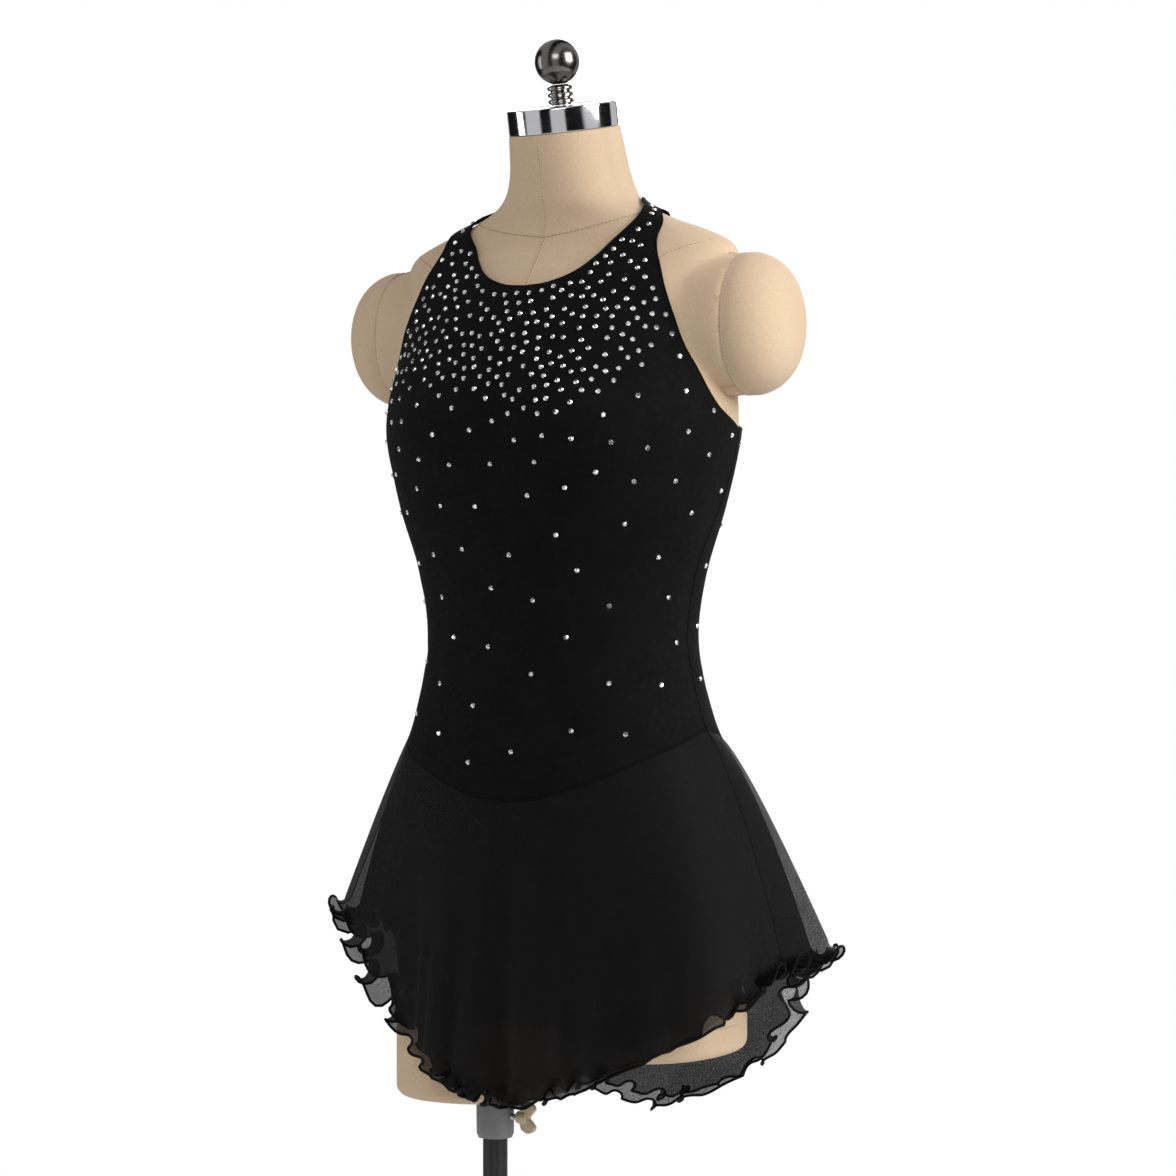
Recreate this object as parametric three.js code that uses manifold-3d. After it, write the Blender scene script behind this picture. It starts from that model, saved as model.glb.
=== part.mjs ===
// A sleeveless halter-neck skating dress, worn by a limbless dress form on a pole stand.
// Millimetres, +Z up. The form faces -Y, and its own left side is +X. The origin is the
// centre of the stand's base, on the floor, under the pole.
// The form and the dress are worked out in "form" coordinates, whose zero height is
// FORM_HEIGHT above the floor and whose axis is the body's middle. Angles run round the
// body: 0 is centre front, 90 is the wearer's left side, 180 is centre back and -90 is
// the right side.

import * as THREE from "three";
import Module from "manifold-3d";
import { mergeVertices } from "three/addons/utils/BufferGeometryUtils.js";

// ---------- driving sizes ----------

const GAP = 0.3;                 // what touching pieces keep between them

// where the form stands
const FORM_HEIGHT = 655;
const POLE_AT = { x: -72, y: 12 };   // pole axis, in form coordinates

// trunk sections: half width, depth in front of and behind the middle, middle's y
const TRUNK = [
  { z: 40, half: 150, front: 92, back: 94, mid: 14 },
  { z: 110, half: 157, front: 96, back: 106, mid: 12 },
  { z: 200, half: 158, front: 97, back: 115, mid: 8 },
  { z: 255, half: 149, front: 94, back: 105, mid: 5 },
  { z: 310, half: 128, front: 86, back: 91, mid: 1 },
  { z: 370, half: 115, front: 83, back: 84, mid: 0 },
  { z: 425, half: 121, front: 87, back: 88, mid: 0 },
  { z: 485, half: 140, front: 99, back: 95, mid: 0 },
  { z: 540, half: 152, front: 104, back: 105, mid: 0 },
  { z: 575, half: 151, front: 101, back: 108, mid: 1 },
  { z: 620, half: 141, front: 85, back: 98, mid: 4 },
  { z: 655, half: 144, front: 68, back: 91, mid: 7 },
  { z: 683, half: 152, front: 53, back: 78, mid: 11 },
  { z: 697, half: 147, front: 46, back: 69, mid: 14 },
  { z: 708, half: 126, front: 44, back: 62, mid: 16 },
  { z: 720, half: 93, front: 45, back: 57, mid: 18 },
  { z: 735, half: 63, front: 49, back: 53, mid: 18 },
  { z: 755, half: 51, front: 49, back: 50, mid: 15 },
  { z: 796, half: 45, front: 45, back: 45, mid: 4 },
];
const SQUARENESS = 2.15;         // exponent of a section's outline, 2 is an ellipse
const TRUNK_FLOOR = 62;          // where the trunk ends between the stubs
const BUST = { z: 545, angle: 33, rise: 9, spread: 24, reach: 40 };

// arm stumps, closed by rounded shoulder caps
const ARM = { z: 629.5, tall: 57.5, y: 18, deep: 54, plane: 163, reach: 190, blend: 12 };
const ARM_END = 0.957;           // share of its depth that a stump keeps at its flat end
const CAP = { bulge: 41.5, square: 0.62 };   // how far the caps stand out, and how full they are
const CAP_LIP = 1.2;             // the cap's rim stands this far proud of the stump

// neck: the rings tilt forward towards the top
const NECK = { from: 740, to: 796, tilt: 12 };
const NECK_CAP = { radius: 46.5, high: 21, edge: 1.6 };
const FINIAL = { stem: 8.5, ring: 11, high: 17, ball: 18.8, seat: 5 };
const GROOVES = { count: 2, first: 4, pitch: 6.5, wide: 4, slope: 1.2 };   // between its rings

// stubs under the trunk; the wearer's right one is longer and holds the pole
const STUB = { x: 79, half: 70, deep: 86, mid: 14, square: 2.3, round: 9, into: 86, tuck: 9 };
const LONG_STUB = -9;            // where the right stub ends
const SHORT_STUB = 36;           // where the left stub ends
const BOARD = { inset: 11.5, thick: 3 };

// stand
const POLE = { radius: 10.4, inside: 330, bore: 331, clear: 1.8 };
const COLLAR = { top: 17, bottom: 15.2, high: 38, clear: 0.3 };
const SCREW = { radius: 2.6, drop: 20, end: 30, clear: 0.3 };
const TAP = { from: 5, to: 25 };  // the screw's hole through the collar's wall
const KEY = { from: 22, hub: 5.2, span: 26, out: 40, thick: 5 };
const BASE = { radius: 175, thick: 10, edge: 3 };
const HUB = { radius: 27, rim: 8, neck: 18, high: 42 };

// dress cloth
const CLOTH = 1.2;               // bodice wall
const SHEER = 1.0;               // skirt wall
const BODICE_OFF = 4.0;          // bodice's outer face, from the form
const EASE = { off: 4.0, from: 500, to: 580 };   // more room above the bust
const UNDER_INSET = 1.6;         // under skirt's top edge, inside the outer one's

// bodice cut: heights of the edges round the body, in form coordinates
const SEAM = { side: 300, frontDrop: 56, backDrop: 44 };   // seam between bodice and skirt
const UNDERARM = { angle: 98, z: 545 };
const BACK_RISE = 52;            // the back's top edge, above the underarm
const STRAP_END = { angle: 86, low: 724.5, high: 731.5 };
// the armhole edge, from the underarm up to the strap's outer corner
const ARMHOLE = [
  { up: 0.0, angle: 98, z: 545 },
  { up: 0.12, angle: 84, z: 562 },
  { up: 0.3, angle: 75.5, z: 597 },
  { up: 0.47, angle: 71, z: 630 },
  { up: 0.64, angle: 69, z: 663 },
  { up: 0.82, angle: 70.5, z: 695 },
  { up: 0.92, angle: 76.5, z: 713 },
  { up: 1.0, angle: 86, z: 724.5 },
];
// the neckline, from centre front to the strap's inner corner
const NECKLINE = [
  { along: 0.0, angle: 0, z: 660 },
  { along: 0.18, angle: 17, z: 662 },
  { along: 0.36, angle: 34.5, z: 670 },
  { along: 0.54, angle: 48.5, z: 684 },
  { along: 0.7, angle: 59, z: 700 },
  { along: 0.84, angle: 67.5, z: 714 },
  { along: 0.93, angle: 75, z: 723.5 },
  { along: 1.0, angle: 86, z: 731.5 },
];
const STRAP_SHARE = 0.14;        // share of each half of the top edge that is strap end
const EDGE_PULL = 0.3;           // how much more the cloth beside an armhole follows it
// a band comes to rest on the neck, and the left one laps over the right one at the nape
const BAND = { start: 0.36, rests: 128, off: CLOTH + 0.7, lap: 9, lift: 1.7 };
const BAND_EDGES = [
  { angle: 86, low: 724.5, high: 731.5 },
  { angle: 98, low: 725, high: 737 },
  { angle: 128, low: 721.5, high: 738.5 },
  { angle: 190, low: 720, high: 737 },
];
const SIDE_GAP = 0.06;           // half the gap at the side seams, as an angle

// skirt: hem height and how far the hem stands out from the seam, round the body
const HEM = [
  { angle: -180, z: -34, out: 62 },
  { angle: -152, z: -14, out: 68 },
  { angle: -128, z: 42, out: 80 },
  { angle: -104, z: 112, out: 80 },
  { angle: -84, z: 134, out: 70 },
  { angle: -70, z: 104, out: 37 },
  { angle: -58, z: 66, out: 27 },
  { angle: -46, z: 43, out: 23 },
  { angle: -30, z: 27, out: 22 },
  { angle: 0, z: 5, out: 25 },
  { angle: 32, z: 20, out: 33 },
  { angle: 54, z: 48, out: 46 },
  { angle: 72, z: 80, out: 64 },
  { angle: 90, z: 106, out: 80 },
  { angle: 108, z: 112, out: 88 },
  { angle: 128, z: 76, out: 84 },
  { angle: 152, z: -2, out: 68 },
  { angle: 180, z: -34, out: 62 },
];
// large folds: where, how far they stand out at the hem, and how wide they are
const FOLDS = [
  { angle: -166, rise: 12, wide: 13 },
  { angle: -136, rise: 15, wide: 12 },
  { angle: -109, rise: -11, wide: 11 },
  { angle: -90, rise: 9, wide: 10 },
  { angle: -70, rise: 8, wide: 9 },
  { angle: -47, rise: -8, wide: 10 },
  { angle: -26, rise: 9, wide: 9 },
  { angle: -9, rise: 7, wide: 7 },
  { angle: 5, rise: -6, wide: 6 },
  { angle: 21, rise: 9, wide: 9 },
  { angle: 44, rise: -8, wide: 10 },
  { angle: 66, rise: 10, wide: 9 },
  { angle: 86, rise: -11, wide: 9 },
  { angle: 103, rise: 9, wide: 9 },
  { angle: 124, rise: -10, wide: 10 },
  { angle: 146, rise: 14, wide: 11 },
  { angle: 168, rise: -9, wide: 10 },
];
const FLARE = { out: 0.8, fold: 1.6 };   // how early the skirt spreads, and its folds grow
const WAVE = { swing: 5.0, lift: 3.4, reach: 34 };  // rolled hem's waves, dying out upwards
const OUTER_WAVES = 20;          // in each panel
const UNDER_WAVES = 15;
const UNDER_HEM = { lower: 6, inset: 13 };   // the under skirt hangs lower and closer

// fineness
const PANEL_STEPS = 24;          // columns of a panel at the seam
const SEAM_ROWS = 9;             // rows from the seam up to the underarm
const YOKE_ROWS = 14;            // rows of the front above the underarm
const BODY_STEPS = 44;
const STUB_STEPS = 28;
const CAP_STEPS = 24;

// ---------- colours ----------

const stuff = (color, roughness, metalness = 0) =>
  new THREE.MeshStandardMaterial({ color, roughness, metalness });
const LINEN = stuff(0xd8bd98, 0.85);
const BLACK_KNIT = stuff(0x111113, 0.8);
const BLACK_SHEER = stuff(0x17171a, 0.7);
const CHROME = stuff(0xc8c8cc, 0.12, 1);
const SMOKED_CHROME = stuff(0x55555a, 0.12, 1);
const GREY_BOARD = stuff(0x4a4a4c, 0.8);
const GREY_PLASTIC = stuff(0x77777a, 0.5);
const CREAM_PLASTIC = stuff(0xc9b894, 0.45);
const CHARCOAL = stuff(0x2a2a2d, 0.45, 0.4);

// ---------- small helpers ----------

const rad = (degrees) => THREE.MathUtils.degToRad(degrees);
const mix = THREE.MathUtils.lerp;
// an angle brought to between -180 and 180
const wrapped = (angle) => angle - 360 * Math.round(angle / 360);

// Smooth curve through the rows of a table: the value of one column at a place.
function follow(table, by, column, at) {
  const last = table.length - 1;
  const slope = (i) => {
    const a = table[Math.max(i - 1, 0)];
    const b = table[Math.min(i + 1, last)];
    return (b[column] - a[column]) / (b[by] - a[by]);
  };
  let i = 0;
  while (i < last - 1 && at > table[i + 1][by]) i += 1;
  const [a, b] = [table[i], table[i + 1]];
  const step = b[by] - a[by];
  const t = THREE.MathUtils.clamp((at - a[by]) / step, 0, 1);
  const rise = b[column] - a[column];
  const [m0, m1] = [slope(i) * step, slope(i + 1) * step];
  return a[column] + t * (m0 + t * (3 * rise - 2 * m0 - m1 + t * (m0 + m1 - 2 * rise)));
}

// A closed mesh from points and triangles, turned the right way out.
function solid(points, faces) {
  let volume = 0;
  const side = new THREE.Vector3();
  for (const [a, b, c] of faces) {
    volume += points[a].dot(side.crossVectors(points[b], points[c]));
  }
  const turned = volume < 0 ? faces.map(([a, b, c]) => [a, c, b]) : faces;
  const geometry = new THREE.BufferGeometry();
  geometry.setAttribute("position", new THREE.Float32BufferAttribute(
    points.flatMap((p) => p.toArray()), 3));
  geometry.setIndex(turned.flat());
  return geometry;
}

// Triangles between two runs of points that may differ in number.
function stitch(lower, upper, faces) {
  let [i, j] = [0, 0];
  while (i < lower.length - 1 || j < upper.length - 1) {
    const nextLow = (i + 1) / (lower.length - 1);
    const nextUp = (j + 1) / (upper.length - 1);
    if (j === upper.length - 1 || (i < lower.length - 1 && nextLow <= nextUp)) {
      faces.push([lower[i], lower[i + 1], upper[j]]);
      i += 1;
    } else {
      faces.push([lower[i], upper[j + 1], upper[j]]);
      j += 1;
    }
  }
}

// A loft through closed rings of points, closed by a fan at each end.
function loft(rings) {
  const points = rings.flat();
  const count = rings[0].length;
  const faces = [];
  for (let r = 0; r < rings.length - 1; r += 1) {
    for (let i = 0; i < count; i += 1) {
      const [a, b] = [r * count + i, r * count + ((i + 1) % count)];
      faces.push([a, b, b + count], [a, b + count, a + count]);
    }
  }
  for (const [ring, flip] of [[0, true], [rings.length - 1, false]]) {
    const middle = new THREE.Vector3();
    for (const p of rings[ring]) middle.addScaledVector(p, 1 / count);
    const hub = points.push(middle) - 1;
    for (let i = 0; i < count; i += 1) {
      const [a, b] = [ring * count + i, ring * count + ((i + 1) % count)];
      faces.push(flip ? [hub, b, a] : [hub, a, b]);
    }
  }
  return solid(points, faces);
}

// A wall of even thickness behind the surface place(u, v), u and v from 0 to 1.
// Each row gives its v and its number of columns.
function wall(place, rows, thickness) {
  const tiny = 1e-4;
  const outward = (u, v) => {
    const [u0, u1] = [Math.max(u - tiny, 0), Math.min(u + tiny, 1)];
    const [v0, v1] = [Math.max(v - tiny, 0), Math.min(v + tiny, 1)];
    const along = place(u1, v).sub(place(u0, v));
    return along.cross(place(u, v1).sub(place(u, v0))).normalize();
  };
  const points = [];
  const faces = [];
  const layers = [0, thickness].map((depth) => rows.map(({ v, columns }) =>
    Array.from({ length: columns + 1 }, (_, i) => {
      const u = i / columns;
      return points.push(place(u, v).addScaledVector(outward(u, v), -depth)) - 1;
    })));
  const [outer, inner] = layers;
  for (let r = 0; r < rows.length - 1; r += 1) {
    stitch(outer[r], outer[r + 1], faces);
    const back = [];
    stitch(inner[r], inner[r + 1], back);
    faces.push(...back.map(([a, b, c]) => [a, c, b]));
  }
  const firsts = (layer) => layer.map((row) => row[0]);
  const lasts = (layer) => layer.map((row) => row[row.length - 1]);
  stitch(inner[0], outer[0], faces);
  stitch(outer.at(-1), inner.at(-1), faces);
  stitch(firsts(outer), firsts(inner), faces);
  stitch(lasts(inner), lasts(outer), faces);
  return solid(points, faces);
}

// ---------- joining and cutting ----------

const wasm = await Module();
wasm.setup();

function toManifold(geometry) {
  const bare = geometry.clone();
  bare.deleteAttribute("normal");
  bare.deleteAttribute("uv");
  const merged = mergeVertices(bare, 1e-4);
  return new wasm.Manifold(new wasm.Mesh({
    numProp: 3,
    vertProperties: new Float32Array(merged.attributes.position.array),
    triVerts: new Uint32Array(merged.index.array),
  }));
}

function fromManifold(body) {
  const { vertProperties, triVerts } = body.getMesh();
  const geometry = new THREE.BufferGeometry();
  geometry.setAttribute("position", new THREE.BufferAttribute(vertProperties, 3));
  geometry.setIndex(new THREE.BufferAttribute(triVerts, 1));
  return geometry;
}

function cut(geometry, ...tools) {
  const body = tools.reduce((rest, tool) => rest.subtract(toManifold(tool)), toManifold(geometry));
  return fromManifold(body);
}

function join(...geometries) {
  const [first, ...others] = geometries.map(toManifold);
  return fromManifold(others.reduce((sum, other) => sum.add(other), first));
}

// An upright turned shape from [radius, height] pairs that start and end on the axis.
function turned(profile, segments = 24) {
  const line = profile.map(([r, z]) => new THREE.Vector2(r, z));
  return new THREE.LatheGeometry(line, segments).rotateX(Math.PI / 2);
}

// An upright cylinder between two heights.
function rod(radius, low, high, segments = 24) {
  return turned([[0, low], [radius, low], [radius, high], [0, high]], segments);
}

// ---------- the body ----------

// Distance from the trunk's middle to its skin.
function reach(angle, z) {
  const [side, ahead] = [Math.abs(Math.sin(rad(angle))), Math.cos(rad(angle))];
  const half = follow(TRUNK, "z", "half", z);
  const deep = follow(TRUNK, "z", ahead > 0 ? "front" : "back", z);
  const n = SQUARENESS;
  let trunk = ((side / half) ** n + (Math.abs(ahead) / deep) ** n) ** (-1 / n);
  const round = (Math.abs(angle) - BUST.angle) / BUST.spread;
  const level = (z - BUST.z) / BUST.reach;
  trunk += BUST.rise * Math.exp(-round * round - level * level);

  const up = (z - ARM.z) / ARM.tall;
  if (Math.abs(up) >= 1) return trunk;
  const slab = ARM.deep * Math.sqrt(1 - up * up);
  const behind = ARM.y - follow(TRUNK, "z", "mid", z);
  const depth = Math.max(slab - Math.sign(ahead) * behind, 1);
  const arm = ((side / ARM.reach) ** 8 + (Math.abs(ahead) / depth) ** 8) ** (-1 / 8);
  const fade = ARM.blend * Math.min(1, 6 * (1 - Math.abs(up)));
  return (trunk + arm + Math.hypot(trunk - arm, fade)) / 2;
}

// A point on the body's skin; the arm stumps end in a flat plane.
function skin(angle, z) {
  const out = reach(angle, z);
  const lean = Math.tan(rad(NECK.tilt)) * THREE.MathUtils.smoothstep(z, NECK.from, NECK.to);
  const x = THREE.MathUtils.clamp(out * Math.sin(rad(angle)), -ARM.plane, ARM.plane);
  const ahead = -out * Math.cos(rad(angle));
  return new THREE.Vector3(x, follow(TRUNK, "z", "mid", z) + ahead, z + lean * ahead);
}

// A point that stands `off` above the skin.
function above(angle, z, off) {
  const round = skin(angle + 0.5, z).sub(skin(angle - 0.5, z));
  const up = skin(angle, z + 0.5).sub(skin(angle, z - 0.5));
  return skin(angle, z).addScaledVector(round.cross(up).normalize(), off);
}

function bodyRing(z) {
  return Array.from({ length: BODY_STEPS }, (_, i) => skin((360 * i) / BODY_STEPS - 180, z));
}

// Heights of the trunk's rings: closer together round the shoulders.
function trunkHeights() {
  const heights = [];
  for (let z = TRUNK_FLOOR; z < 560; z += 36) heights.push(z);
  for (let z = 562; z < 580; z += 5) heights.push(z);
  for (let z = 586; z < 690; z += 13) heights.push(z);
  for (let z = 692; z < NECK.from; z += 6) heights.push(z);
  for (let z = NECK.from; z <= NECK.to; z += 14) heights.push(z);
  return heights;
}

// Outline of a stub, grown or shrunk by `off`.
function stubRing(side, z, off) {
  return Array.from({ length: STUB_STEPS }, (_, i) => {
    const turn = (2 * Math.PI * i) / STUB_STEPS;
    const [c, s] = [Math.cos(turn), Math.sin(turn)];
    const r = (Math.abs(c / (STUB.half + off)) ** STUB.square
      + Math.abs(s / (STUB.deep + off)) ** STUB.square) ** (-1 / STUB.square);
    return new THREE.Vector3(side * STUB.x + r * c, STUB.mid + r * s, z);
  });
}

// The hole that the pole slides in.
function bore() {
  const hole = rod(POLE.radius + POLE.clear, LONG_STUB - 1, POLE.bore);
  return hole.translate(POLE_AT.x, POLE_AT.y, 0);
}

// One stub, with a rounded lower edge.
function stub(side) {
  const foot = (side < 0 ? LONG_STUB : SHORT_STUB) + BOARD.thick + GAP;
  const rings = [0, 30, 60, 90].map((turn) => {
    const inward = STUB.round * (1 - Math.sin(rad(turn)));
    return stubRing(side, foot + STUB.round * (1 - Math.cos(rad(turn))), -inward);
  });
  rings.push(stubRing(side, TRUNK_FLOOR - GAP, 0));
  return side < 0 ? cut(loft(rings), bore()) : loft(rings);
}

// The trunk with the roots of the stubs.
function torso() {
  const trunk = loft(trunkHeights().map(bodyRing));
  const roots = [-1, 1].map((side) => loft([
    stubRing(side, TRUNK_FLOOR, 0), stubRing(side, STUB.into, -STUB.tuck)]));
  return cut(join(trunk, ...roots), bore());
}

// The board that closes a stub's underside; the longer stub's board lets the pole through.
function board(side) {
  const low = side < 0 ? LONG_STUB : SHORT_STUB;
  const high = low + BOARD.thick;
  const plate = loft([low, high].map((z) => stubRing(side, z, -BOARD.inset)));
  return side < 0 ? cut(plate, bore()) : plate;
}

// A rounded cap on an arm stump: half an oval, flat where it meets the stump.
function shoulderCap(side) {
  const [across, up] = [ARM.deep * ARM_END + CAP_LIP, ARM.tall + CAP_LIP];
  const rings = [0, 16, 34, 52, 68, 81].map((turn) => {
    const bulge = CAP.bulge * Math.sin(rad(turn));
    const share = Math.cos(rad(turn)) ** CAP.square;
    return Array.from({ length: CAP_STEPS }, (_, i) => {
      const a = (2 * Math.PI * i) / CAP_STEPS;
      return new THREE.Vector3(side * (ARM.plane + GAP + bulge),
        ARM.y + across * share * Math.cos(a), ARM.z + up * share * Math.sin(a));
    });
  });
  return loft(rings);
}

// ---------- the bodice ----------

const seamHeight = (angle) => {
  const ahead = Math.cos(rad(angle));
  const drop = ahead > 0 ? SEAM.frontDrop : SEAM.backDrop;
  return SEAM.side - drop * Math.abs(ahead) ** 1.3;
};

// Angle and height of the front's side edge: the side seam, then the armhole.
const SIDE_SHARE = SEAM_ROWS / (SEAM_ROWS + YOKE_ROWS);
const seamEdge = 90 - SIDE_GAP;

function sideEdge(v) {
  if (v <= SIDE_SHARE) {
    const t = v / SIDE_SHARE;
    const angle = mix(seamEdge, UNDERARM.angle, THREE.MathUtils.smoothstep(t, 0.5, 1));
    return [angle, mix(seamHeight(90) + GAP, UNDERARM.z, t)];
  }
  const up = (v - SIDE_SHARE) / (1 - SIDE_SHARE);
  return [follow(ARMHOLE, "up", "angle", up), follow(ARMHOLE, "up", "z", up)];
}

// Angle and height of the front's top edge; s runs from 0 at centre front to 1.
function topEdge(s) {
  const turn = 1 - STRAP_SHARE;
  if (s > turn) {
    return [STRAP_END.angle, mix(STRAP_END.high, STRAP_END.low, (s - turn) / STRAP_SHARE)];
  }
  const along = s / turn;
  return [follow(NECKLINE, "along", "angle", along), follow(NECKLINE, "along", "z", along)];
}

const bodiceOff = (z) =>
  BODICE_OFF + EASE.off * THREE.MathUtils.smoothstep(z, EASE.from, EASE.to);

// The front is spread between its four edges.
function frontPlace(u, v) {
  const s = Math.abs(2 * u - 1);
  const side = Math.sign(2 * u - 1) || 1;
  const [topAngle, topZ] = topEdge(s);
  const bottomAngle = seamEdge * s;
  const bottomZ = seamHeight(bottomAngle) + GAP;
  const [edgeAngle, edgeZ] = sideEdge(v);
  const [cornerAngle, cornerZ] = topEdge(1);
  const straightAngle = mix(seamEdge, cornerAngle, v);
  const straightZ = mix(seamHeight(90) + GAP, cornerZ, v);
  const pull = s + EDGE_PULL * s * s * (1 - s);
  const angle = mix(bottomAngle, topAngle, v) + pull * (edgeAngle - straightAngle);
  const z = mix(bottomZ, topZ, v) + pull * (edgeZ - straightZ);
  return above(side * angle, z, bodiceOff(z));
}

const evenRows = (from, to, count, columns) =>
  Array.from({ length: count + 1 }, (_, i) => ({ v: mix(from, to, i / count), columns }));

function bodiceFront() {
  const rows = evenRows(0, SIDE_SHARE, SEAM_ROWS, PANEL_STEPS);
  for (let i = 1; i <= YOKE_ROWS; i += 1) {
    const closer = 1 - (1 - i / YOKE_ROWS) ** 1.2;      // rows crowd together up the straps
    rows.push({ v: mix(SIDE_SHARE, 1, closer), columns: PANEL_STEPS });
  }
  return wall(frontPlace, rows, CLOTH);
}

function backPlace(u, v) {
  const [edgeAngle, edgeZ] = sideEdge(v * SIDE_SHARE);
  const from = 180 - edgeAngle;
  const away = mix(-from, from, u);
  const angle = 180 + away;
  const arch = (1 + Math.cos((Math.PI * away) / from)) / 2;
  const level = mix(seamHeight(angle) - seamHeight(90), BACK_RISE * arch, v);
  const z = edgeZ + level;
  const gap = 2 * (90 - seamEdge) * (1 - 2 * u);
  return above(angle + gap, z, bodiceOff(z));
}

function bodiceBack() {
  return wall(backPlace, evenRows(0, 1, SEAM_ROWS, PANEL_STEPS), CLOTH);
}

// A band that carries a strap on round the back of the neck.
function neckBand(side) {
  const from = STRAP_END.angle + BAND.start;
  const to = 180 + side * BAND.lap;
  const [start, end] = side > 0 ? [from, to] : [-to, -from];
  const off = (angle, z) => {
    const rest = THREE.MathUtils.smoothstep(Math.abs(angle), STRAP_END.angle, BAND.rests);
    const lapped = THREE.MathUtils.smoothstep(angle, 180 - 3.5 * BAND.lap, 180 - 1.6 * BAND.lap);
    return mix(bodiceOff(z), BAND.off, rest) + BAND.lift * lapped;
  };
  const place = (u, v) => {
    const angle = mix(start, end, u);
    const edge = (name) => follow(BAND_EDGES, "angle", name, Math.abs(angle));
    const z = mix(edge("low"), edge("high"), v);
    return above(angle, z, off(angle, z));
  };
  return wall(place, evenRows(0, 1, 2, 12), CLOTH);
}

// ---------- the skirt ----------

// A point on a skirt layer: v is 0 at the hem and 1 at the seam.
function skirtPlace(layer, angle, v) {
  const down = 1 - v;
  const seam = seamHeight(angle);
  const top = above(angle, seam, BODICE_OFF - layer.inset);
  const heading = new THREE.Vector3(Math.sin(rad(angle)), -Math.cos(rad(angle)), 0);
  const fall = seam - follow(HEM, "angle", "z", angle) + layer.lower;
  const grown = down ** FLARE.fold;
  let out = follow(HEM, "angle", "out", angle) * down ** FLARE.out - layer.within * grown;
  for (const fold of FOLDS) {
    const away = wrapped(angle - fold.angle) / fold.wide;
    out += layer.folds * fold.rise * Math.exp(-away * away) * grown;
  }
  const below = fall * v / WAVE.reach;
  const fading = Math.exp(-below * below * 1.6);
  const turn = rad((angle + 90) * 2 * layer.waves + layer.phase);
  out += WAVE.swing * fading * Math.sin(turn);
  const lift = WAVE.lift * fading * Math.sin(turn * 0.5 + 1) * Math.cos(turn);
  return new THREE.Vector3(top.x, top.y, top.z - GAP - fall * down + lift)
    .addScaledVector(heading, out);
}

const OUTER = { inset: 0, lower: 0, within: 0, folds: 1, waves: OUTER_WAVES, phase: 0 };
const UNDER = {
  inset: UNDER_INSET, lower: UNDER_HEM.lower, within: UNDER_HEM.inset, folds: 0.75,
  waves: UNDER_WAVES, phase: 70,
};

// One panel, front (middle 0) or back (middle 180), with most columns at the hem.
function skirtPanel(layer, middle) {
  const edge = 90 - SIDE_GAP - 0.01;
  const place = (u, v) => {
    const angle = middle + mix(-edge, edge, u);
    return skirtPlace(layer, wrapped(angle), v);
  };
  const fine = 4 * layer.waves;
  const rows = [
    { v: 0, columns: fine }, { v: 0.035, columns: fine }, { v: 0.09, columns: fine },
    { v: 0.2, columns: PANEL_STEPS * 2 }, { v: 0.4, columns: PANEL_STEPS * 2 },
    { v: 0.62, columns: PANEL_STEPS }, { v: 0.82, columns: PANEL_STEPS },
    { v: 1, columns: PANEL_STEPS },
  ];
  return wall(place, rows, SHEER);
}

// ---------- neck cap, stand ----------

// A tilted group that stands on the neck's top.
function neckTop() {
  const group = new THREE.Group();
  group.position.set(0, follow(TRUNK, "z", "mid", NECK.to), NECK.to);
  group.rotation.x = rad(NECK.tilt);
  const { radius, high, edge } = NECK_CAP;
  const cap = turned([[0, GAP], [radius, GAP], [radius, high - edge], [radius - edge, high],
    [0, high]], 40);
  const stemFoot = high + GAP;
  const stem = [[0, stemFoot], [FINIAL.ring, stemFoot]];
  for (let i = 0; i < GROOVES.count; i += 1) {
    const low = stemFoot + GROOVES.first + GROOVES.pitch * i;
    const high = low + GROOVES.wide;
    stem.push([FINIAL.ring, low], [FINIAL.stem, low + GROOVES.slope],
      [FINIAL.stem, high - GROOVES.slope], [FINIAL.ring, high]);
  }
  const stemTop = stemFoot + FINIAL.high;
  stem.push([FINIAL.ring, stemTop - 1], [FINIAL.stem, stemTop], [0, stemTop]);
  const ballFoot = stemTop + GAP;
  const drop = Math.sqrt(FINIAL.ball ** 2 - FINIAL.seat ** 2);
  const ball = [[0, ballFoot], [FINIAL.seat, ballFoot]];      // flat where it sits
  for (let turn = 150; turn >= 10; turn -= 20) {
    ball.push([FINIAL.ball * Math.sin(rad(turn)),
      ballFoot + drop + FINIAL.ball * Math.cos(rad(turn))]);
  }
  ball.push([0, ballFoot + drop + FINIAL.ball]);
  group.add(piece("neck_cap", cap, CHROME));
  group.add(piece("finial_stem", turned(stem, 14), CHROME));
  group.add(piece("finial_ball", turned(ball, 24), SMOKED_CHROME));
  return group;
}

// The collar under the longer stub, its clamp screw and its wing key, about the pole's axis.
function collarGroup() {
  const group = new THREE.Group();
  group.position.set(POLE_AT.x, POLE_AT.y, LONG_STUB);
  const bore = POLE.radius + COLLAR.clear;
  const [top, bottom] = [-GAP, -GAP - COLLAR.high];
  const sleeve = turned([[bore, bottom], [COLLAR.bottom, bottom], [COLLAR.top, top],
    [bore, top], [bore, bottom]]);
  const sideways = (geometry) => geometry.rotateY(Math.PI / 2).translate(0, 0, -SCREW.drop);
  const tap = sideways(rod(SCREW.radius + SCREW.clear, TAP.from, TAP.to, 16));
  group.add(piece("pole_collar", cut(sleeve, tap), GREY_PLASTIC));
  const screw = sideways(rod(SCREW.radius, bore + 0.1, SCREW.end, 16));
  group.add(piece("clamp_screw", screw, CHROME));
  group.add(piece("clamp_key", sideways(wingKey()), CREAM_PLASTIC));
  return group;
}

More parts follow.
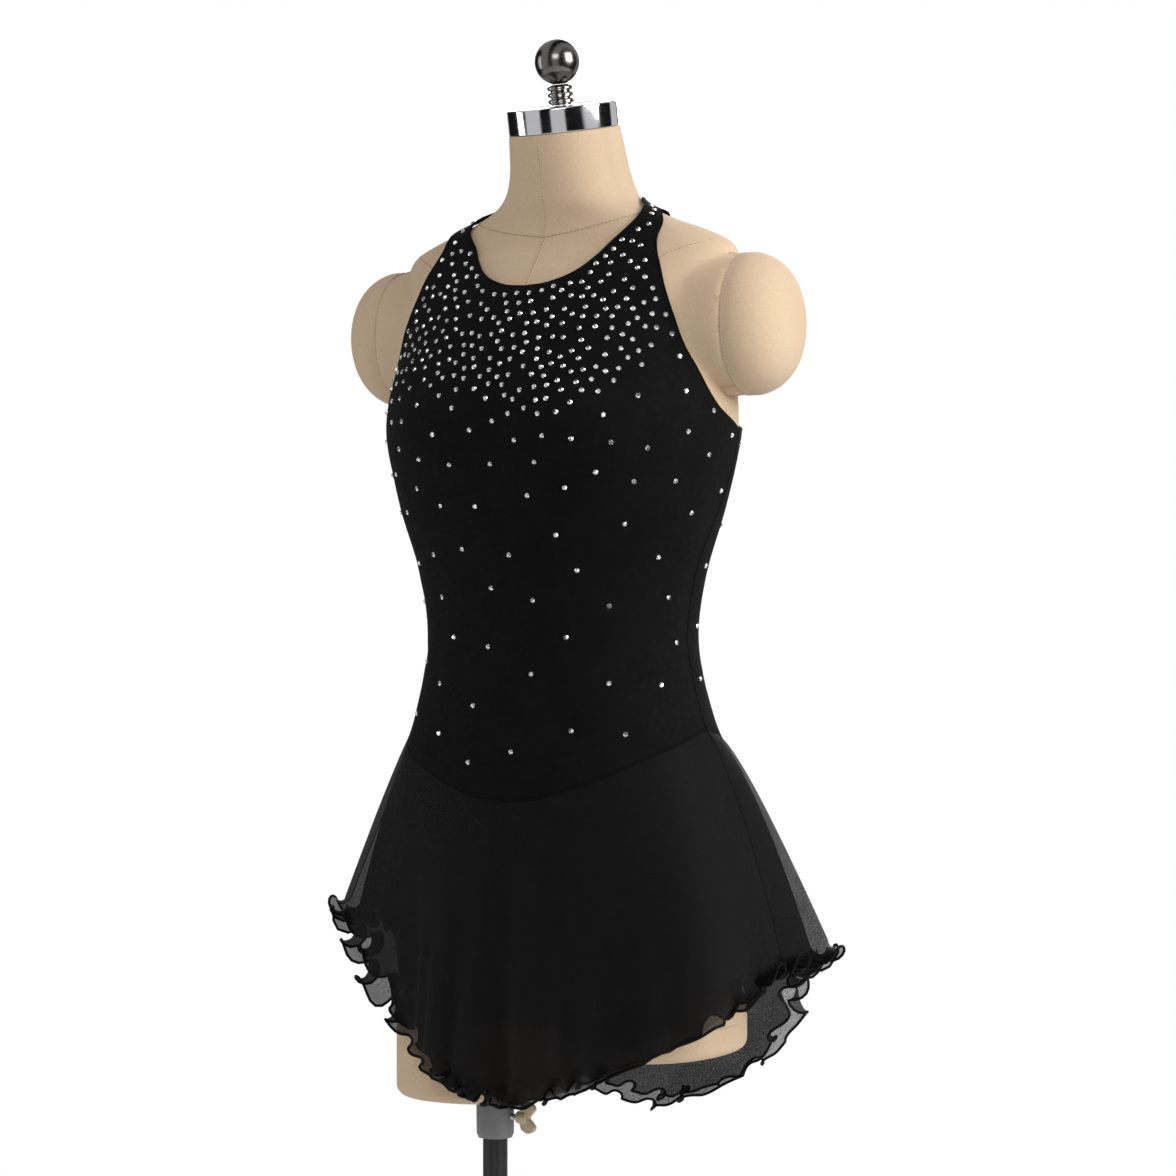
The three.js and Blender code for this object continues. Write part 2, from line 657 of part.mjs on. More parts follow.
// A key with two rounded wings on a hub, bored for the screw; its axis is upright here.
function wingKey() {
  const half = KEY.span / 2;
  const low = KEY.from;
  const outline = new THREE.Shape();
  outline.moveTo(-KEY.hub + 1, low + 2);
  outline.lineTo(KEY.hub - 1, low + 2);
  outline.quadraticCurveTo(half * 0.75, low + 3, half, low + 8);
  outline.quadraticCurveTo(half + 1, KEY.out, half * 0.6, KEY.out);
  outline.quadraticCurveTo(KEY.hub * 0.6, KEY.out - 1, 0, KEY.out - 7);
  outline.quadraticCurveTo(-KEY.hub * 0.6, KEY.out - 1, -half * 0.6, KEY.out);
  outline.quadraticCurveTo(-half - 1, KEY.out, -half, low + 8);
  outline.quadraticCurveTo(-half * 0.75, low + 3, -KEY.hub + 1, low + 2);
  const wings = new THREE.ExtrudeGeometry(outline,
    { depth: KEY.thick, bevelEnabled: false, curveSegments: 5 });
  wings.translate(0, 0, -KEY.thick / 2).rotateX(Math.PI / 2);
  const hub = rod(KEY.hub, low, SCREW.end + 2, 20);
  const hole = rod(SCREW.radius + GAP, low - 5, SCREW.end + GAP, 16);
  return cut(join(wings, hub), hole);
}

function stand() {
  const group = new THREE.Group();
  const { radius, thick, edge } = BASE;
  const plate = turned([[0, 0], [radius - 1, 0], [radius, 1], [radius, thick - edge],
    [radius - edge, thick], [0, thick]], 48);
  const foot = thick + GAP;
  const bore = POLE.radius + COLLAR.clear;
  const hub = turned([[bore, foot], [HUB.radius, foot], [HUB.radius, foot + HUB.rim],
    [HUB.neck, foot + HUB.high], [bore, foot + HUB.high], [bore, foot]]);
  group.add(piece("base_plate", plate, CHARCOAL));
  group.add(piece("base_hub", hub, CHARCOAL));
  group.add(piece("pole", rod(POLE.radius, foot, FORM_HEIGHT + POLE.inside), CHARCOAL));
  return group;
}

// ---------- the whole ----------

function piece(name, geometry, material) {
  const mesh = new THREE.Mesh(geometry, material);
  mesh.name = name;
  return mesh;
}

function dress() {
  const group = new THREE.Group();
  group.add(piece("bodice_front", bodiceFront(), BLACK_KNIT));
  group.add(piece("bodice_back", bodiceBack(), BLACK_KNIT));
  group.add(piece("neck_band_left", neckBand(1), BLACK_KNIT));
  group.add(piece("neck_band_right", neckBand(-1), BLACK_KNIT));
  group.add(piece("skirt_outer_front", skirtPanel(OUTER, 0), BLACK_SHEER));
  group.add(piece("skirt_outer_back", skirtPanel(OUTER, 180), BLACK_SHEER));
  group.add(piece("skirt_under_front", skirtPanel(UNDER, 0), BLACK_SHEER));
  group.add(piece("skirt_under_back", skirtPanel(UNDER, 180), BLACK_SHEER));
  return group;
}

function dressForm() {
  const group = new THREE.Group();
  group.add(piece("form_torso", torso(), LINEN));
  group.add(piece("form_stub_long", stub(-1), LINEN));
  group.add(piece("form_stub_short", stub(1), LINEN));
  group.add(piece("shoulder_cap_left", shoulderCap(1), LINEN));
  group.add(piece("shoulder_cap_right", shoulderCap(-1), LINEN));
  group.add(piece("stub_board_long", board(-1), GREY_BOARD));
  group.add(piece("stub_board_short", board(1), GREY_BOARD));
  group.add(neckTop(), collarGroup());
  return group;
}

const worn = new THREE.Group();
worn.position.set(-POLE_AT.x, -POLE_AT.y, FORM_HEIGHT);
worn.add(dress(), dressForm());

const skatingDress = new THREE.Group();
skatingDress.add(stand(), worn);

export default skatingDress;
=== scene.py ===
"""Looks of a halter-neck skating dress on a limbless dress form.

Lengths in the tables are millimetres in "form" coordinates: the body's axis is at x = y = 0
and zero height is FORM_HEIGHT above the floor. Angles run round the body in degrees:
0 is centre front, 90 the wearer's left side, 180 centre back and -90 the right side.
"""

import math

import bmesh
import bpy
import numpy as np
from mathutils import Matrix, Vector

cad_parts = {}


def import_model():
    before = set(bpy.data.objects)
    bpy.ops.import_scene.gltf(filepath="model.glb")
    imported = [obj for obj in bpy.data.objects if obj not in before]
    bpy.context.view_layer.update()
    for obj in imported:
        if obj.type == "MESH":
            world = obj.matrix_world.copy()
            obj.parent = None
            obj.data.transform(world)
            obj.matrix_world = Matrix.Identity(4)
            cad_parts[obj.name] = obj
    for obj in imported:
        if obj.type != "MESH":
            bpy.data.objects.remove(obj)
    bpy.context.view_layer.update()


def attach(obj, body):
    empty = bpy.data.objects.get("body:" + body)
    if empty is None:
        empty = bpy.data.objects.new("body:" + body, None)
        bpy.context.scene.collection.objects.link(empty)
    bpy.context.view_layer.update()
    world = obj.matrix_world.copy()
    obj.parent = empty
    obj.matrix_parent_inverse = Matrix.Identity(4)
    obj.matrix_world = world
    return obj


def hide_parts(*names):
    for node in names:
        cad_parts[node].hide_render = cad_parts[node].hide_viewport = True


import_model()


# ---------------------------------------------------------------- driving sizes

def table(columns, *rows):
    """A short table as a dictionary of named columns."""
    return dict(zip(columns.split(), np.array(rows, float).T))


MM = 0.001
WELD = 1e-6                          # metres between points that count as one
POLE_AT = (-72, 12)                  # pole axis, in form coordinates
FORM_HEIGHT = 655
WORN = np.array([-POLE_AT[0], -POLE_AT[1], FORM_HEIGHT], float)

TRUNK = table(
    "z half front back mid",
    (40, 150, 92, 94, 14),
    (110, 157, 96, 106, 12),
    (200, 158, 97, 115, 8),
    (255, 149, 94, 105, 5),
    (310, 128, 86, 91, 1),
    (370, 115, 83, 84, 0),
    (425, 121, 87, 88, 0),
    (485, 140, 99, 95, 0),
    (540, 152, 104, 105, 0),
    (575, 151, 101, 108, 1),
    (620, 141, 85, 98, 4),
    (655, 144, 68, 91, 7),
    (683, 152, 53, 78, 11),
    (697, 147, 46, 69, 14),
    (708, 126, 44, 62, 16),
    (720, 93, 45, 57, 18),
    (735, 63, 49, 53, 18),
    (755, 51, 49, 50, 15),
    (796, 45, 45, 45, 4),
)
SQUARENESS = 2.15                    # 2 is an oval, more is squarer
TRUNK_FLOOR = 62
BUST = dict(z=545, angle=33, rise=9, spread=24, reach=40)
ARM = dict(z=629.5, tall=57.5, y=18, deep=54, plane=163, reach=190, blend=12,
           rim=2.5)
STUMP_DEEP = ARM["deep"] * 0.957      # half the stump's depth where its plane cuts it
CAP = dict(bulge=41.5, lip=1.2, gap=0.3, square=0.62)
NECK = dict(low=740, top=796, tilt=12, cap=46.5, cap_high=21)
STUB = dict(x=79, half=70, deep=86, mid=14, square=2.3, round=9, long=-9, short=36, into=86)

CLOTH = 0.8                          # bodice's thickness
CLOTH_OFF = 3.0                      # its outer face; the CAD's is further off above the bust
SEAM = dict(side=300, front=56, back=44)
UNDERARM = dict(angle=98, z=545)
BACK_RISE = 52
STRAP = dict(angle=86, low=724.5, high=731.5)
ARMHOLE = table(
    "up angle z",
    (0.0, 98, 545),
    (0.12, 84, 562),
    (0.3, 75.5, 597),
    (0.47, 71, 630),
    (0.64, 69, 663),
    (0.82, 70.5, 695),
    (0.92, 76.5, 713),
    (1.0, 86, 724.5),
)
NECKLINE = table(
    "along angle z",
    (0.0, 0, 660),
    (0.18, 17, 662),
    (0.36, 34.5, 670),
    (0.54, 48.5, 684),
    (0.7, 59, 700),
    (0.84, 67.5, 714),
    (0.93, 75, 723.5),
    (1.0, 86, 731.5),
)
STRAP_SHARE = 0.14
EDGE_PULL = 0.3                      # how much more the cloth beside an edge follows it
SIDE_SHARE = 9 / 23                  # share of the front's height below the underarm
BAND = dict(rests=128, off=2.0, lap=9, lift=1.6)
BAND_EDGES = table(                  # the neck band's two edges
    "angle low high",
    (86, 724.5, 731.5),
    (98, 725, 737),
    (128, 721.5, 738.5),
    (190, 720, 737),
)

HEM = table(
    "angle z out",
    (-180, -34, 62),
    (-152, -14, 68),
    (-128, 42, 80),
    (-104, 112, 80),
    (-84, 134, 70),
    (-70, 104, 37),
    (-58, 66, 27),
    (-46, 43, 23),
    (-30, 27, 22),
    (0, 5, 25),
    (32, 20, 33),
    (54, 48, 46),
    (72, 80, 64),
    (90, 106, 80),
    (108, 112, 88),
    (128, 76, 84),
    (152, -2, 68),
    (180, -34, 62),
)
FOLDS = table(
    "angle rise wide",
    (-166, 12, 13),
    (-136, 15, 12),
    (-109, -11, 11),
    (-90, 9, 10),
    (-70, 8, 9),
    (-47, -8, 10),
    (-26, 9, 9),
    (-9, 7, 7),
    (5, -6, 6),
    (21, 9, 9),
    (44, -8, 10),
    (66, 10, 9),
    (86, -11, 9),
    (103, 9, 9),
    (124, -10, 10),
    (146, 14, 11),
    (168, -9, 10),
)


# ---------------------------------------------------------------- curves and places

def follow(rows, by, column, at):
    """Smooth curve through a table's rows: the value of one column at each place."""
    x, y = rows[by], rows[column]
    at = np.asarray(at, float)
    slope = np.empty(len(x))
    slope[1:-1] = (y[2:] - y[:-2]) / (x[2:] - x[:-2])
    slope[0] = (y[1] - y[0]) / (x[1] - x[0])
    slope[-1] = (y[-1] - y[-2]) / (x[-1] - x[-2])
    i = np.clip(np.searchsorted(x, at) - 1, 0, len(x) - 2)
    step = x[i + 1] - x[i]
    t = np.clip((at - x[i]) / step, 0, 1)
    rise = y[i + 1] - y[i]
    m0, m1 = slope[i] * step, slope[i + 1] * step
    return y[i] + t * (m0 + t * (3 * rise - 2 * m0 - m1 + t * (m0 + m1 - 2 * rise)))


def smooth(x, low, high):
    t = np.clip((np.asarray(x, float) - low) / (high - low), 0, 1)
    return t * t * (3 - 2 * t)


def mix(a, b, t):
    return a + (b - a) * t


def bump(x, at, wide):
    return np.exp(-((x - at) / wide) ** 2)


def circle(count):
    """Angles in radians all the way round, without the end."""
    return np.linspace(0, 2 * np.pi, count, endpoint=False)


def wrapped(angle):
    """The same angle between -180 and 180 degrees."""
    return (angle + 180) % 360 - 180


def unit(v):
    return v / np.maximum(np.linalg.norm(v, axis=-1, keepdims=True), 1e-12)


def reach(angle, z):
    """Distance from the trunk's middle to its skin."""
    a = np.radians(angle)
    side, ahead = np.abs(np.sin(a)), np.cos(a)
    half = follow(TRUNK, "z", "half", z)
    deep = np.where(ahead > 0, follow(TRUNK, "z", "front", z), follow(TRUNK, "z", "back", z))
    n = SQUARENESS
    trunk = ((side / half) ** n + (np.abs(ahead) / deep) ** n) ** (-1 / n)
    round_ = (np.abs(angle) - BUST["angle"]) / BUST["spread"]
    level = (z - BUST["z"]) / BUST["reach"]
    trunk = trunk + BUST["rise"] * np.exp(-round_ ** 2 - level ** 2)

    up = (z - ARM["z"]) / ARM["tall"]
    inside = np.abs(up) < 1
    slab = ARM["deep"] * np.sqrt(np.clip(1 - up * up, 0, None))
    behind = ARM["y"] - follow(TRUNK, "z", "mid", z)
    depth = np.maximum(slab - np.sign(ahead) * behind, 1)
    arm = ((side / ARM["reach"]) ** 8 + (np.abs(ahead) / depth) ** 8) ** (-1 / 8)
    fade = ARM["blend"] * np.minimum(1, 6 * (1 - np.abs(up)))
    return np.where(inside, (trunk + arm + np.hypot(trunk - arm, fade)) / 2, trunk)


def skin(angle, z):
    """Points on the body's skin; the arm stumps end in a flat plane."""
    angle, z = np.broadcast_arrays(np.asarray(angle, float), np.asarray(z, float))
    angle = wrapped(angle)
    out = reach(angle, z)
    lean = math.tan(math.radians(NECK["tilt"])) * smooth(z, NECK["low"], NECK["top"])
    side = out * np.sin(np.radians(angle))
    past = np.abs(side) - ARM["plane"]
    x = np.sign(side) * (ARM["plane"] + (past - np.hypot(past, ARM["rim"])) / 2)
    ahead = -out * np.cos(np.radians(angle))
    return np.stack([x, follow(TRUNK, "z", "mid", z) + ahead, z + lean * ahead], -1)


def skin_normal(angle, z):
    step = 0.8
    round_ = skin(angle + step, z) - skin(angle - step, z)
    up = skin(angle, z + step) - skin(angle, z - step)
    return unit(np.cross(round_, up))


def above(angle, z, off):
    """Points that stand `off` above the skin."""
    return skin(angle, z) + skin_normal(angle, z) * np.asarray(off)[..., None]


def seam_height(angle):
    """Height of the seam between bodice and skirt."""
    ahead = np.cos(np.radians(angle))
    drop = np.where(ahead > 0, SEAM["front"], SEAM["back"])
    return SEAM["side"] - drop * np.abs(ahead) ** 1.3


def side_edge(v):
    """Angle and height of the front's side edge: the side seam, then the armhole."""
    t = np.clip(v / SIDE_SHARE, 0, 1)
    seam_angle = mix(90, UNDERARM["angle"], smooth(t, 0.5, 1))
    seam_z = mix(float(seam_height(90)), UNDERARM["z"], t)
    up = np.clip((v - SIDE_SHARE) / (1 - SIDE_SHARE), 0, 1)
    above_arm = v > SIDE_SHARE
    return (np.where(above_arm, follow(ARMHOLE, "up", "angle", up), seam_angle),
            np.where(above_arm, follow(ARMHOLE, "up", "z", up), seam_z))


def top_edge(s):
    """Angle and height of the front's top edge; s runs from 0 at centre front to 1."""
    turn = 1 - STRAP_SHARE
    along = np.clip(s / turn, 0, 1)
    end = np.clip((s - turn) / STRAP_SHARE, 0, 1)
    on_strap = s > turn
    return (np.where(on_strap, STRAP["angle"], follow(NECKLINE, "along", "angle", along)),
            np.where(on_strap, mix(STRAP["high"], STRAP["low"], end),
                     follow(NECKLINE, "along", "z", along)))


def front_angles(u, v):
    """Angle and height on the body of a point of the bodice front, u and v from 0 to 1."""
    s, side = np.abs(2 * u - 1), np.where(u < 0.5, -1.0, 1.0)
    top_angle, top_z = top_edge(s)
    bottom_angle = 90 * s
    bottom_z = seam_height(bottom_angle)
    edge_angle, edge_z = side_edge(v)
    corner_angle, corner_z = (float(c) for c in top_edge(np.float64(1)))
    straight_angle = mix(90, corner_angle, v)
    straight_z = mix(float(seam_height(90)), corner_z, v)
    pull = s + EDGE_PULL * s**2 * (1 - s)
    angle = mix(bottom_angle, top_angle, v) + pull * (edge_angle - straight_angle)
    z = mix(bottom_z, top_z, v) + pull * (edge_z - straight_z)
    return side * angle, z


def back_angles(u, v):
    """Angle and height on the body of a point of the bodice back."""
    edge_angle, edge_z = side_edge(v * SIDE_SHARE)
    half = 180 - edge_angle
    away = mix(-half, half, u)
    angle = 180 + away
    arch = (1 + np.cos(np.pi * away / half)) / 2
    level = mix(seam_height(angle) - float(seam_height(90)), BACK_RISE * arch, v)
    return angle, edge_z + level


# ---------------------------------------------------------------- meshes

def world(points):
    """From form coordinates in millimetres to the frame's metres."""
    return (np.asarray(points, float) + WORN) * MM


def linked(name, data):
    obj = bpy.data.objects.new(name, data)
    bpy.context.scene.collection.objects.link(obj)
    return obj


def add_object(name, mesh, material, body):
    obj = linked(name, mesh)
    mesh.materials.append(material)
    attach(obj, body)
    return obj


def make_mesh(name, points, faces, uv=None, flat=False):
    """A mesh from metres and faces; uv holds one pair for each corner of each face."""
    mesh = bpy.data.meshes.new(name)
    mesh.from_pydata(np.asarray(points).tolist(), [], faces)
    if uv is not None:
        layer = mesh.uv_layers.new(name="cloth")
        layer.data.foreach_set("uv", np.asarray(uv, float).ravel())
    mesh.polygons.foreach_set("use_smooth", [not flat] * len(mesh.polygons))
    mesh.update()
    return mesh


def lengths(points, axis):
    """Running length along one axis of a grid of points."""
    steps = np.linalg.norm(np.diff(points, axis=axis), axis=-1)
    pad = [(0, 0), (0, 0)]
    pad[axis] = (1, 0)
    return np.pad(np.cumsum(steps, axis=axis), pad)


def grid_parts(points, wrap=False, thickness=0.0, ends=False):
    """Vertices, faces and corner UVs in metres of a grid of points in millimetres.

    wrap joins the last column to the first, thickness makes it a closed shell, and ends
    closes the first and last rows with a fan."""
    rows, cols = points.shape[:2]
    width = cols if wrap else cols - 1
    ring = np.concatenate([points, points[:, :1]], 1) if wrap else points
    across, along = lengths(ring, 1), lengths(ring, 0)
    across = across - across[:, width // 2:width // 2 + 1]
    uv_grid = np.stack([across, along], -1) * MM
    r, c = np.meshgrid(np.arange(rows - 1), np.arange(width), indexing="ij")
    r, c = r.ravel(), c.ravel()
    corner_r = np.stack([r, r, r + 1, r + 1], 1)
    corner_c = np.stack([c, c + 1, c + 1, c], 1)
    faces = (corner_r * cols + corner_c % cols).tolist()
    uv = uv_grid[corner_r, corner_c].reshape(-1, 2)
    flat_points = points.reshape(-1, 3)
    if thickness:
        flat_points, faces, uv = thicken(points, faces, uv, thickness)
    if ends:
        flat_points, faces, uv = close_ends(flat_points, rows, cols, faces, uv)
    return world(flat_points), faces, uv


def grid_normals(points):
    round_ = np.gradient(points, axis=1)
    up = np.gradient(points, axis=0)
    return unit(np.cross(round_, up))


def thicken(points, faces, uv, thickness):
    """Adds an inner layer and the walls round the edge."""
    rows, cols = points.shape[:2]
    inner = points - grid_normals(points) * thickness
    count = rows * cols
    index = np.arange(count).reshape(rows, cols)
    edge = np.concatenate([index[0, :], index[1:, -1], index[-1, -2::-1], index[-2:0:-1, 0]])
    after = np.roll(edge, -1)
    walls = np.stack([after, edge, edge + count, after + count], 1).tolist()
    back = [[i + count for i in reversed(face)] for face in faces]
    pair = uv.reshape(-1, 4, 2)
    zero = np.zeros((len(walls), 4, 2))
    uv = np.concatenate([pair, pair[:, ::-1], zero]).reshape(-1, 2)
    return np.concatenate([points.reshape(-1, 3), inner.reshape(-1, 3)]), faces + back + walls, uv


def close_ends(points, rows, cols, faces, uv):
    """Closes a wrapped grid's first and last rows with a fan each."""
    points, faces = list(points), list(faces)
    for start, flip in ((0, True), ((rows - 1) * cols, False)):
        hub = len(points)
        points.append(np.mean(points[start:start + cols], 0))
        for i in range(cols):
            a, b = start + i, start + (i + 1) % cols
            faces.append([hub, b, a] if flip else [hub, a, b])
        uv = np.concatenate([uv, np.zeros((cols * 3, 2))])
    return np.array(points), faces, uv


def grid_object(name, points, material, slot, body="form", node=None, **shape):
    """A piece made from a grid of points; node is the CAD node that it replaces."""
    verts, faces, uv = grid_parts(points, **shape)
    obj = add_object(name, make_mesh(name, verts, faces, uv), material, body)
    if node:
        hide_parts(node)
    return obj


def sweep(path, radius, sides=8, closed=False):
    """Rings of points round a path in millimetres."""
    path = np.asarray(path, float)
    if closed:
        tangent = unit(np.roll(path, -1, 0) - np.roll(path, 1, 0))
    else:
        tangent = unit(np.gradient(path, axis=0))
    side = np.zeros_like(path)
    guide = np.array([0, 0, 1.0]) if abs(tangent[0, 2]) < 0.9 else np.array([1.0, 0, 0])
    for i, t in enumerate(tangent):
        guide = guide - t * (guide @ t)
        guide /= np.linalg.norm(guide)
        side[i] = guide
    other = np.cross(tangent, side)
    turn = circle(sides)[:, None, None]
    radius = np.broadcast_to(np.asarray(radius, float), len(path))[None, :, None]
    rings = path[None] + radius * (np.cos(turn) * side[None] + np.sin(turn) * other[None])
    return rings.transpose(1, 0, 2)


def tubes(name, paths, radius, material, sides=8, closed=False):
    """One object made of a tube along each path."""
    verts, faces, uvs, start = [], [], [], 0
    for path in paths:
        rings = sweep(path, radius, sides, closed)
        if closed:
            rings = np.concatenate([rings, rings[:1]])
        v, f, uv = grid_parts(rings, wrap=True, ends=not closed)
        verts.append(v)
        faces += [[i + start for i in face] for face in f]
        uvs.append(uv)
        start += len(v)
    mesh = make_mesh(name, np.concatenate(verts), faces, np.concatenate(uvs))
    if closed:
        weld(mesh)
    return add_object(name, mesh, material, "form")


def weld(mesh):
    """Joins vertices that lie in the same place."""
    edit = bmesh.new()
    edit.from_mesh(mesh)
    bmesh.ops.remove_doubles(edit, verts=edit.verts, dist=WELD)
    edit.to_mesh(mesh)
    edit.free()
    mesh.update()


def lathe(name, profile, place, material, slot, node, body="form", segments=96, ring=False):
    """A turned piece from (radius, height) pairs, moved by place, for a CAD node.

    It is closed at both ends, or as a ring its profile closes on itself."""
    line = np.array([*profile, profile[0]] if ring else profile, float)
    turn = circle(segments)
    rings = np.stack([line[:, :1] * np.cos(turn), line[:, :1] * np.sin(turn),
                      np.repeat(line[:, 1:], segments, 1)], -1)
    obj = grid_object(name, place(rings), material, slot, body, node, wrap=True, ends=not ring)
    if ring:
        weld(obj.data)
    sharpen(obj)


def sharpen(obj, degrees=40):
    """Keeps the edges sharper than this angle."""
    obj.data.set_sharp_from_angle(angle=math.radians(degrees))


def arc(middle, radius, start, stop, steps=6):
    """Points of a profile's round corner; angles in degrees."""
    turn = np.radians(np.linspace(start, stop, steps))
    return [(middle[0] + radius * math.cos(t), middle[1] + radius * math.sin(t)) for t in turn]


# ---------------------------------------------------------------- materials

def feed(tree, node, inputs):
    """Gives a shader node its inputs, each a value or another node's output."""
    for name, value in inputs.items():
        if isinstance(value, bpy.types.NodeSocket):
            tree.links.new(value, node.inputs[name])
        else:
            node.inputs[name].default_value = value
    return node


class Finish:
    """A Principled material with short calls for its textures."""

    def __init__(self, name, color, roughness, metallic=0.0, **sockets):
        self.material = bpy.data.materials.new(name)
        self.material.use_nodes = True
        self.tree = self.material.node_tree
        self.shader = self.tree.nodes["Principled BSDF"]
        feed(self.tree, self.shader, {"Base Color": (*color, 1), "Roughness": roughness,
                                      "Metallic": metallic})
        feed(self.tree, self.shader, {k.replace("_", " "): v for k, v in sockets.items()})
        self.where = self.tree.nodes.new("ShaderNodeTexCoord")

    def add(self, kind, inputs):
        return feed(self.tree, self.tree.nodes.new("ShaderNode" + kind), inputs)

    def mapped(self, source="Object", scale=(1, 1, 1)):
        inputs = {"Scale": scale, "Vector": self.where.outputs[source]}
        return self.add("Mapping", inputs).outputs["Vector"]

    def noise(self, size, detail=3.0, source="Object", stretch=(1, 1, 1)):
        """Noise whose spots are about `size` metres across."""
        inputs = {"Scale": 1 / size, "Detail": detail, "Vector": self.mapped(source, stretch)}
        return self.add("TexNoise", inputs).outputs["Fac"]

    def threads(self, pitch, along="X", wobble=1.5):
        """Parallel ridges `pitch` metres apart; Blender's wave has 20 / 2 pi of them."""
        inputs = {"Scale": 2 * math.pi / (20 * pitch), "Distortion": wobble,
                  "Detail Scale": 0.4, "Vector": self.mapped("UV")}
        node = self.add("TexWave", inputs)
        node.bands_direction = along
        return node.outputs["Fac"]

    def ramp(self, value, low, high, start=0.3, stop=0.7):
        """A colour or grey between two, as value goes from start to stop."""
        node = self.add("MapRange", {"Value": value, "From Min": start, "From Max": stop})
        if np.isscalar(low):
            feed(self.tree, node, {"To Min": low, "To Max": high})
            return node.outputs["Result"]
        blend = self.add("Mix", {})
        blend.data_type = "RGBA"
        inputs = {"A": (*low, 1), "B": (*high, 1), "Factor": node.outputs["Result"]}
        return feed(self.tree, blend, inputs).outputs["Result"]

    def joined(self, operation, a, b):
        node = self.add("Math", {0: a, 1: b})
        node.operation = operation
        return node.outputs["Value"]

    def sum(self, *values):
        total = values[0]
        for value in values[1:]:
            total = self.joined("ADD", total, value)
        return total

    def times(self, value, factor):
        return self.joined("MULTIPLY", value, factor)

    def to(self, socket, value):
        return feed(self.tree, self.shader, {socket: value})

    def bump(self, height, depth, strength=1.0):
        """depth is the relief in metres."""
        node = self.add("Bump", {"Height": height, "Distance": depth, "Strength": strength})
        self.to("Normal", node.outputs["Normal"])


def knit():
    """Matt black stretch jersey: fine wales and courses, a slight bloom."""
    f = Finish("black_knit", (0.004, 0.004, 0.0041), 0.78, Sheen_Weight=0.012,
               Sheen_Roughness=0.45, Specular_IOR_Level=0.07)
    dark, pale = (0.0032, 0.0032, 0.0033), (0.0046, 0.0046, 0.0048)
    f.to("Base Color", f.ramp(f.noise(0.03, 4), dark, pale))
    f.to("Roughness", f.ramp(f.noise(0.004, 3), 0.68, 0.86))
    height = f.sum(f.threads(0.0009, "X"), f.threads(0.0007, "Y"), f.noise(0.0016, 2))
    f.bump(height, 0.00012, 0.5)
    return f.material


COVER_AND_SHADE = {                            # how much of what lies behind it each panel hides; the fronts are set denser than the backs as painted shade
    ("outer", "front"): 0.87,
    ("outer", "back"): 0.75,
    ("under", "front"): 0.93,
    ("under", "back"): 0.86,
}


def chiffon(name, cover_and_shade):
    """Sheer black crepe: open between its threads, with a fine uneven grain."""
    f = Finish(name, (0.0046, 0.0046, 0.005), 0.62, Sheen_Weight=0.02,
               Sheen_Roughness=0.5, Specular_IOR_Level=0.08)
    grain = f.sum(f.noise(0.0014, 3, "UV"), f.times(f.noise(0.03, 3, "UV"), 0.2))
    # The front panels' cover holds painted shade: they hide more than the backs of the same cloth.
    open_ = 1 - cover_and_shade
    f.to("Alpha", f.ramp(grain, 1 - 1.9 * open_, 1 - 0.25 * open_, 0.42, 0.78))
    height = f.sum(f.threads(0.0006, "X", wobble=3), f.threads(0.0006, "Y", wobble=3))
    f.bump(height, 0.00008, 0.4)
    return f.material


def rolled_thread():
    """The hem's close overlock thread."""
    f = Finish("hem_thread", (0.004, 0.004, 0.004), 0.6, Specular_IOR_Level=0.12)
    f.bump(f.threads(0.0007, "Y", wobble=0.5), 0.0002, 0.8)
    return f.material


def linen(name="linen", painted_shade_factor=1.0):
    """Natural linen: plain weave with slubs, slightly uneven in colour."""
    # A factor under one makes a darker copy of the linen as painted shade, for the seam rolls and
    # stitch holes.
    base = np.array([0.640, 0.475, 0.318]) * painted_shade_factor
    f = Finish(name, base, 0.82, Sheen_Weight=0.12, Sheen_Roughness=0.6, Specular_IOR_Level=0.25)
    slubs = f.sum(f.noise(0.0011, 2, "UV", (1, 0.22, 1)), f.noise(0.0011, 2, "UV", (0.22, 1, 1)))
    tone = f.sum(f.times(slubs, 0.55), f.times(f.noise(0.12, 3), 0.45))
    f.to("Base Color", f.ramp(tone, base * 0.92, base * 1.07, 0.55, 1.0))
    f.bump(f.sum(slubs, f.threads(0.0008, "X"), f.threads(0.0008, "Y")), 0.00014, 0.55)
    return f.material


def chrome(name, shade, roughness):
    """Polished plating with faint wiping marks."""
    f = Finish(name, shade, roughness, 1.0)
    f.to("Roughness", f.ramp(f.noise(0.012, 4, stretch=(1, 1, 5)), roughness, roughness + 0.07))
    f.bump(f.noise(0.02, 2), 0.00004, 0.3)
    return f.material


def plastic(name, shade, roughness):
    """Moulded plastic with a fine sparked grain."""
    f = Finish(name, shade, roughness, Specular_IOR_Level=0.5)
    shade = np.array(shade)
    f.to("Base Color", f.ramp(f.noise(0.015, 4), shade * 0.9, shade * 1.1))
    f.to("Roughness", f.ramp(f.noise(0.003, 3), roughness - 0.06, roughness + 0.1))
    f.bump(f.noise(0.0012, 3), 0.00006, 0.5)
    return f.material


def powder_coat(name, shade):
    """Charcoal powder coat: orange peel, rubbed a little, unevenly all over."""
    f = Finish(name, shade, 0.42, 0.3, Coat_Weight=0.15)
    shade = np.array(shade)
    f.to("Base Color", f.ramp(f.noise(0.03, 5), shade * 0.85, shade * 1.25))
    f.to("Roughness", f.ramp(f.noise(0.01, 4), 0.34, 0.55))
    f.bump(f.noise(0.0015, 2), 0.00008, 0.5)
    return f.material


def zinc():
    """Zinc-plated steel, turned."""
    f = Finish("zinc_steel", (0.55, 0.55, 0.56), 0.34, 1.0)
    f.to("Roughness", f.ramp(f.noise(0.002, 4), 0.28, 0.46))
    f.bump(f.noise(0.0008, 2), 0.00003, 0.5)
    return f.material


def crystal():
    """Foil-backed clear stone: bright, hard facets."""
    f = Finish("clear_stone", (0.86, 0.87, 0.9), 0.06, 0.85, Coat_Weight=1.0, Coat_Roughness=0.02)
    f.to("Base Color", f.ramp(f.noise(0.002, 1), (0.62, 0.64, 0.68), (1.0, 1.0, 1.0)))
    return f.material


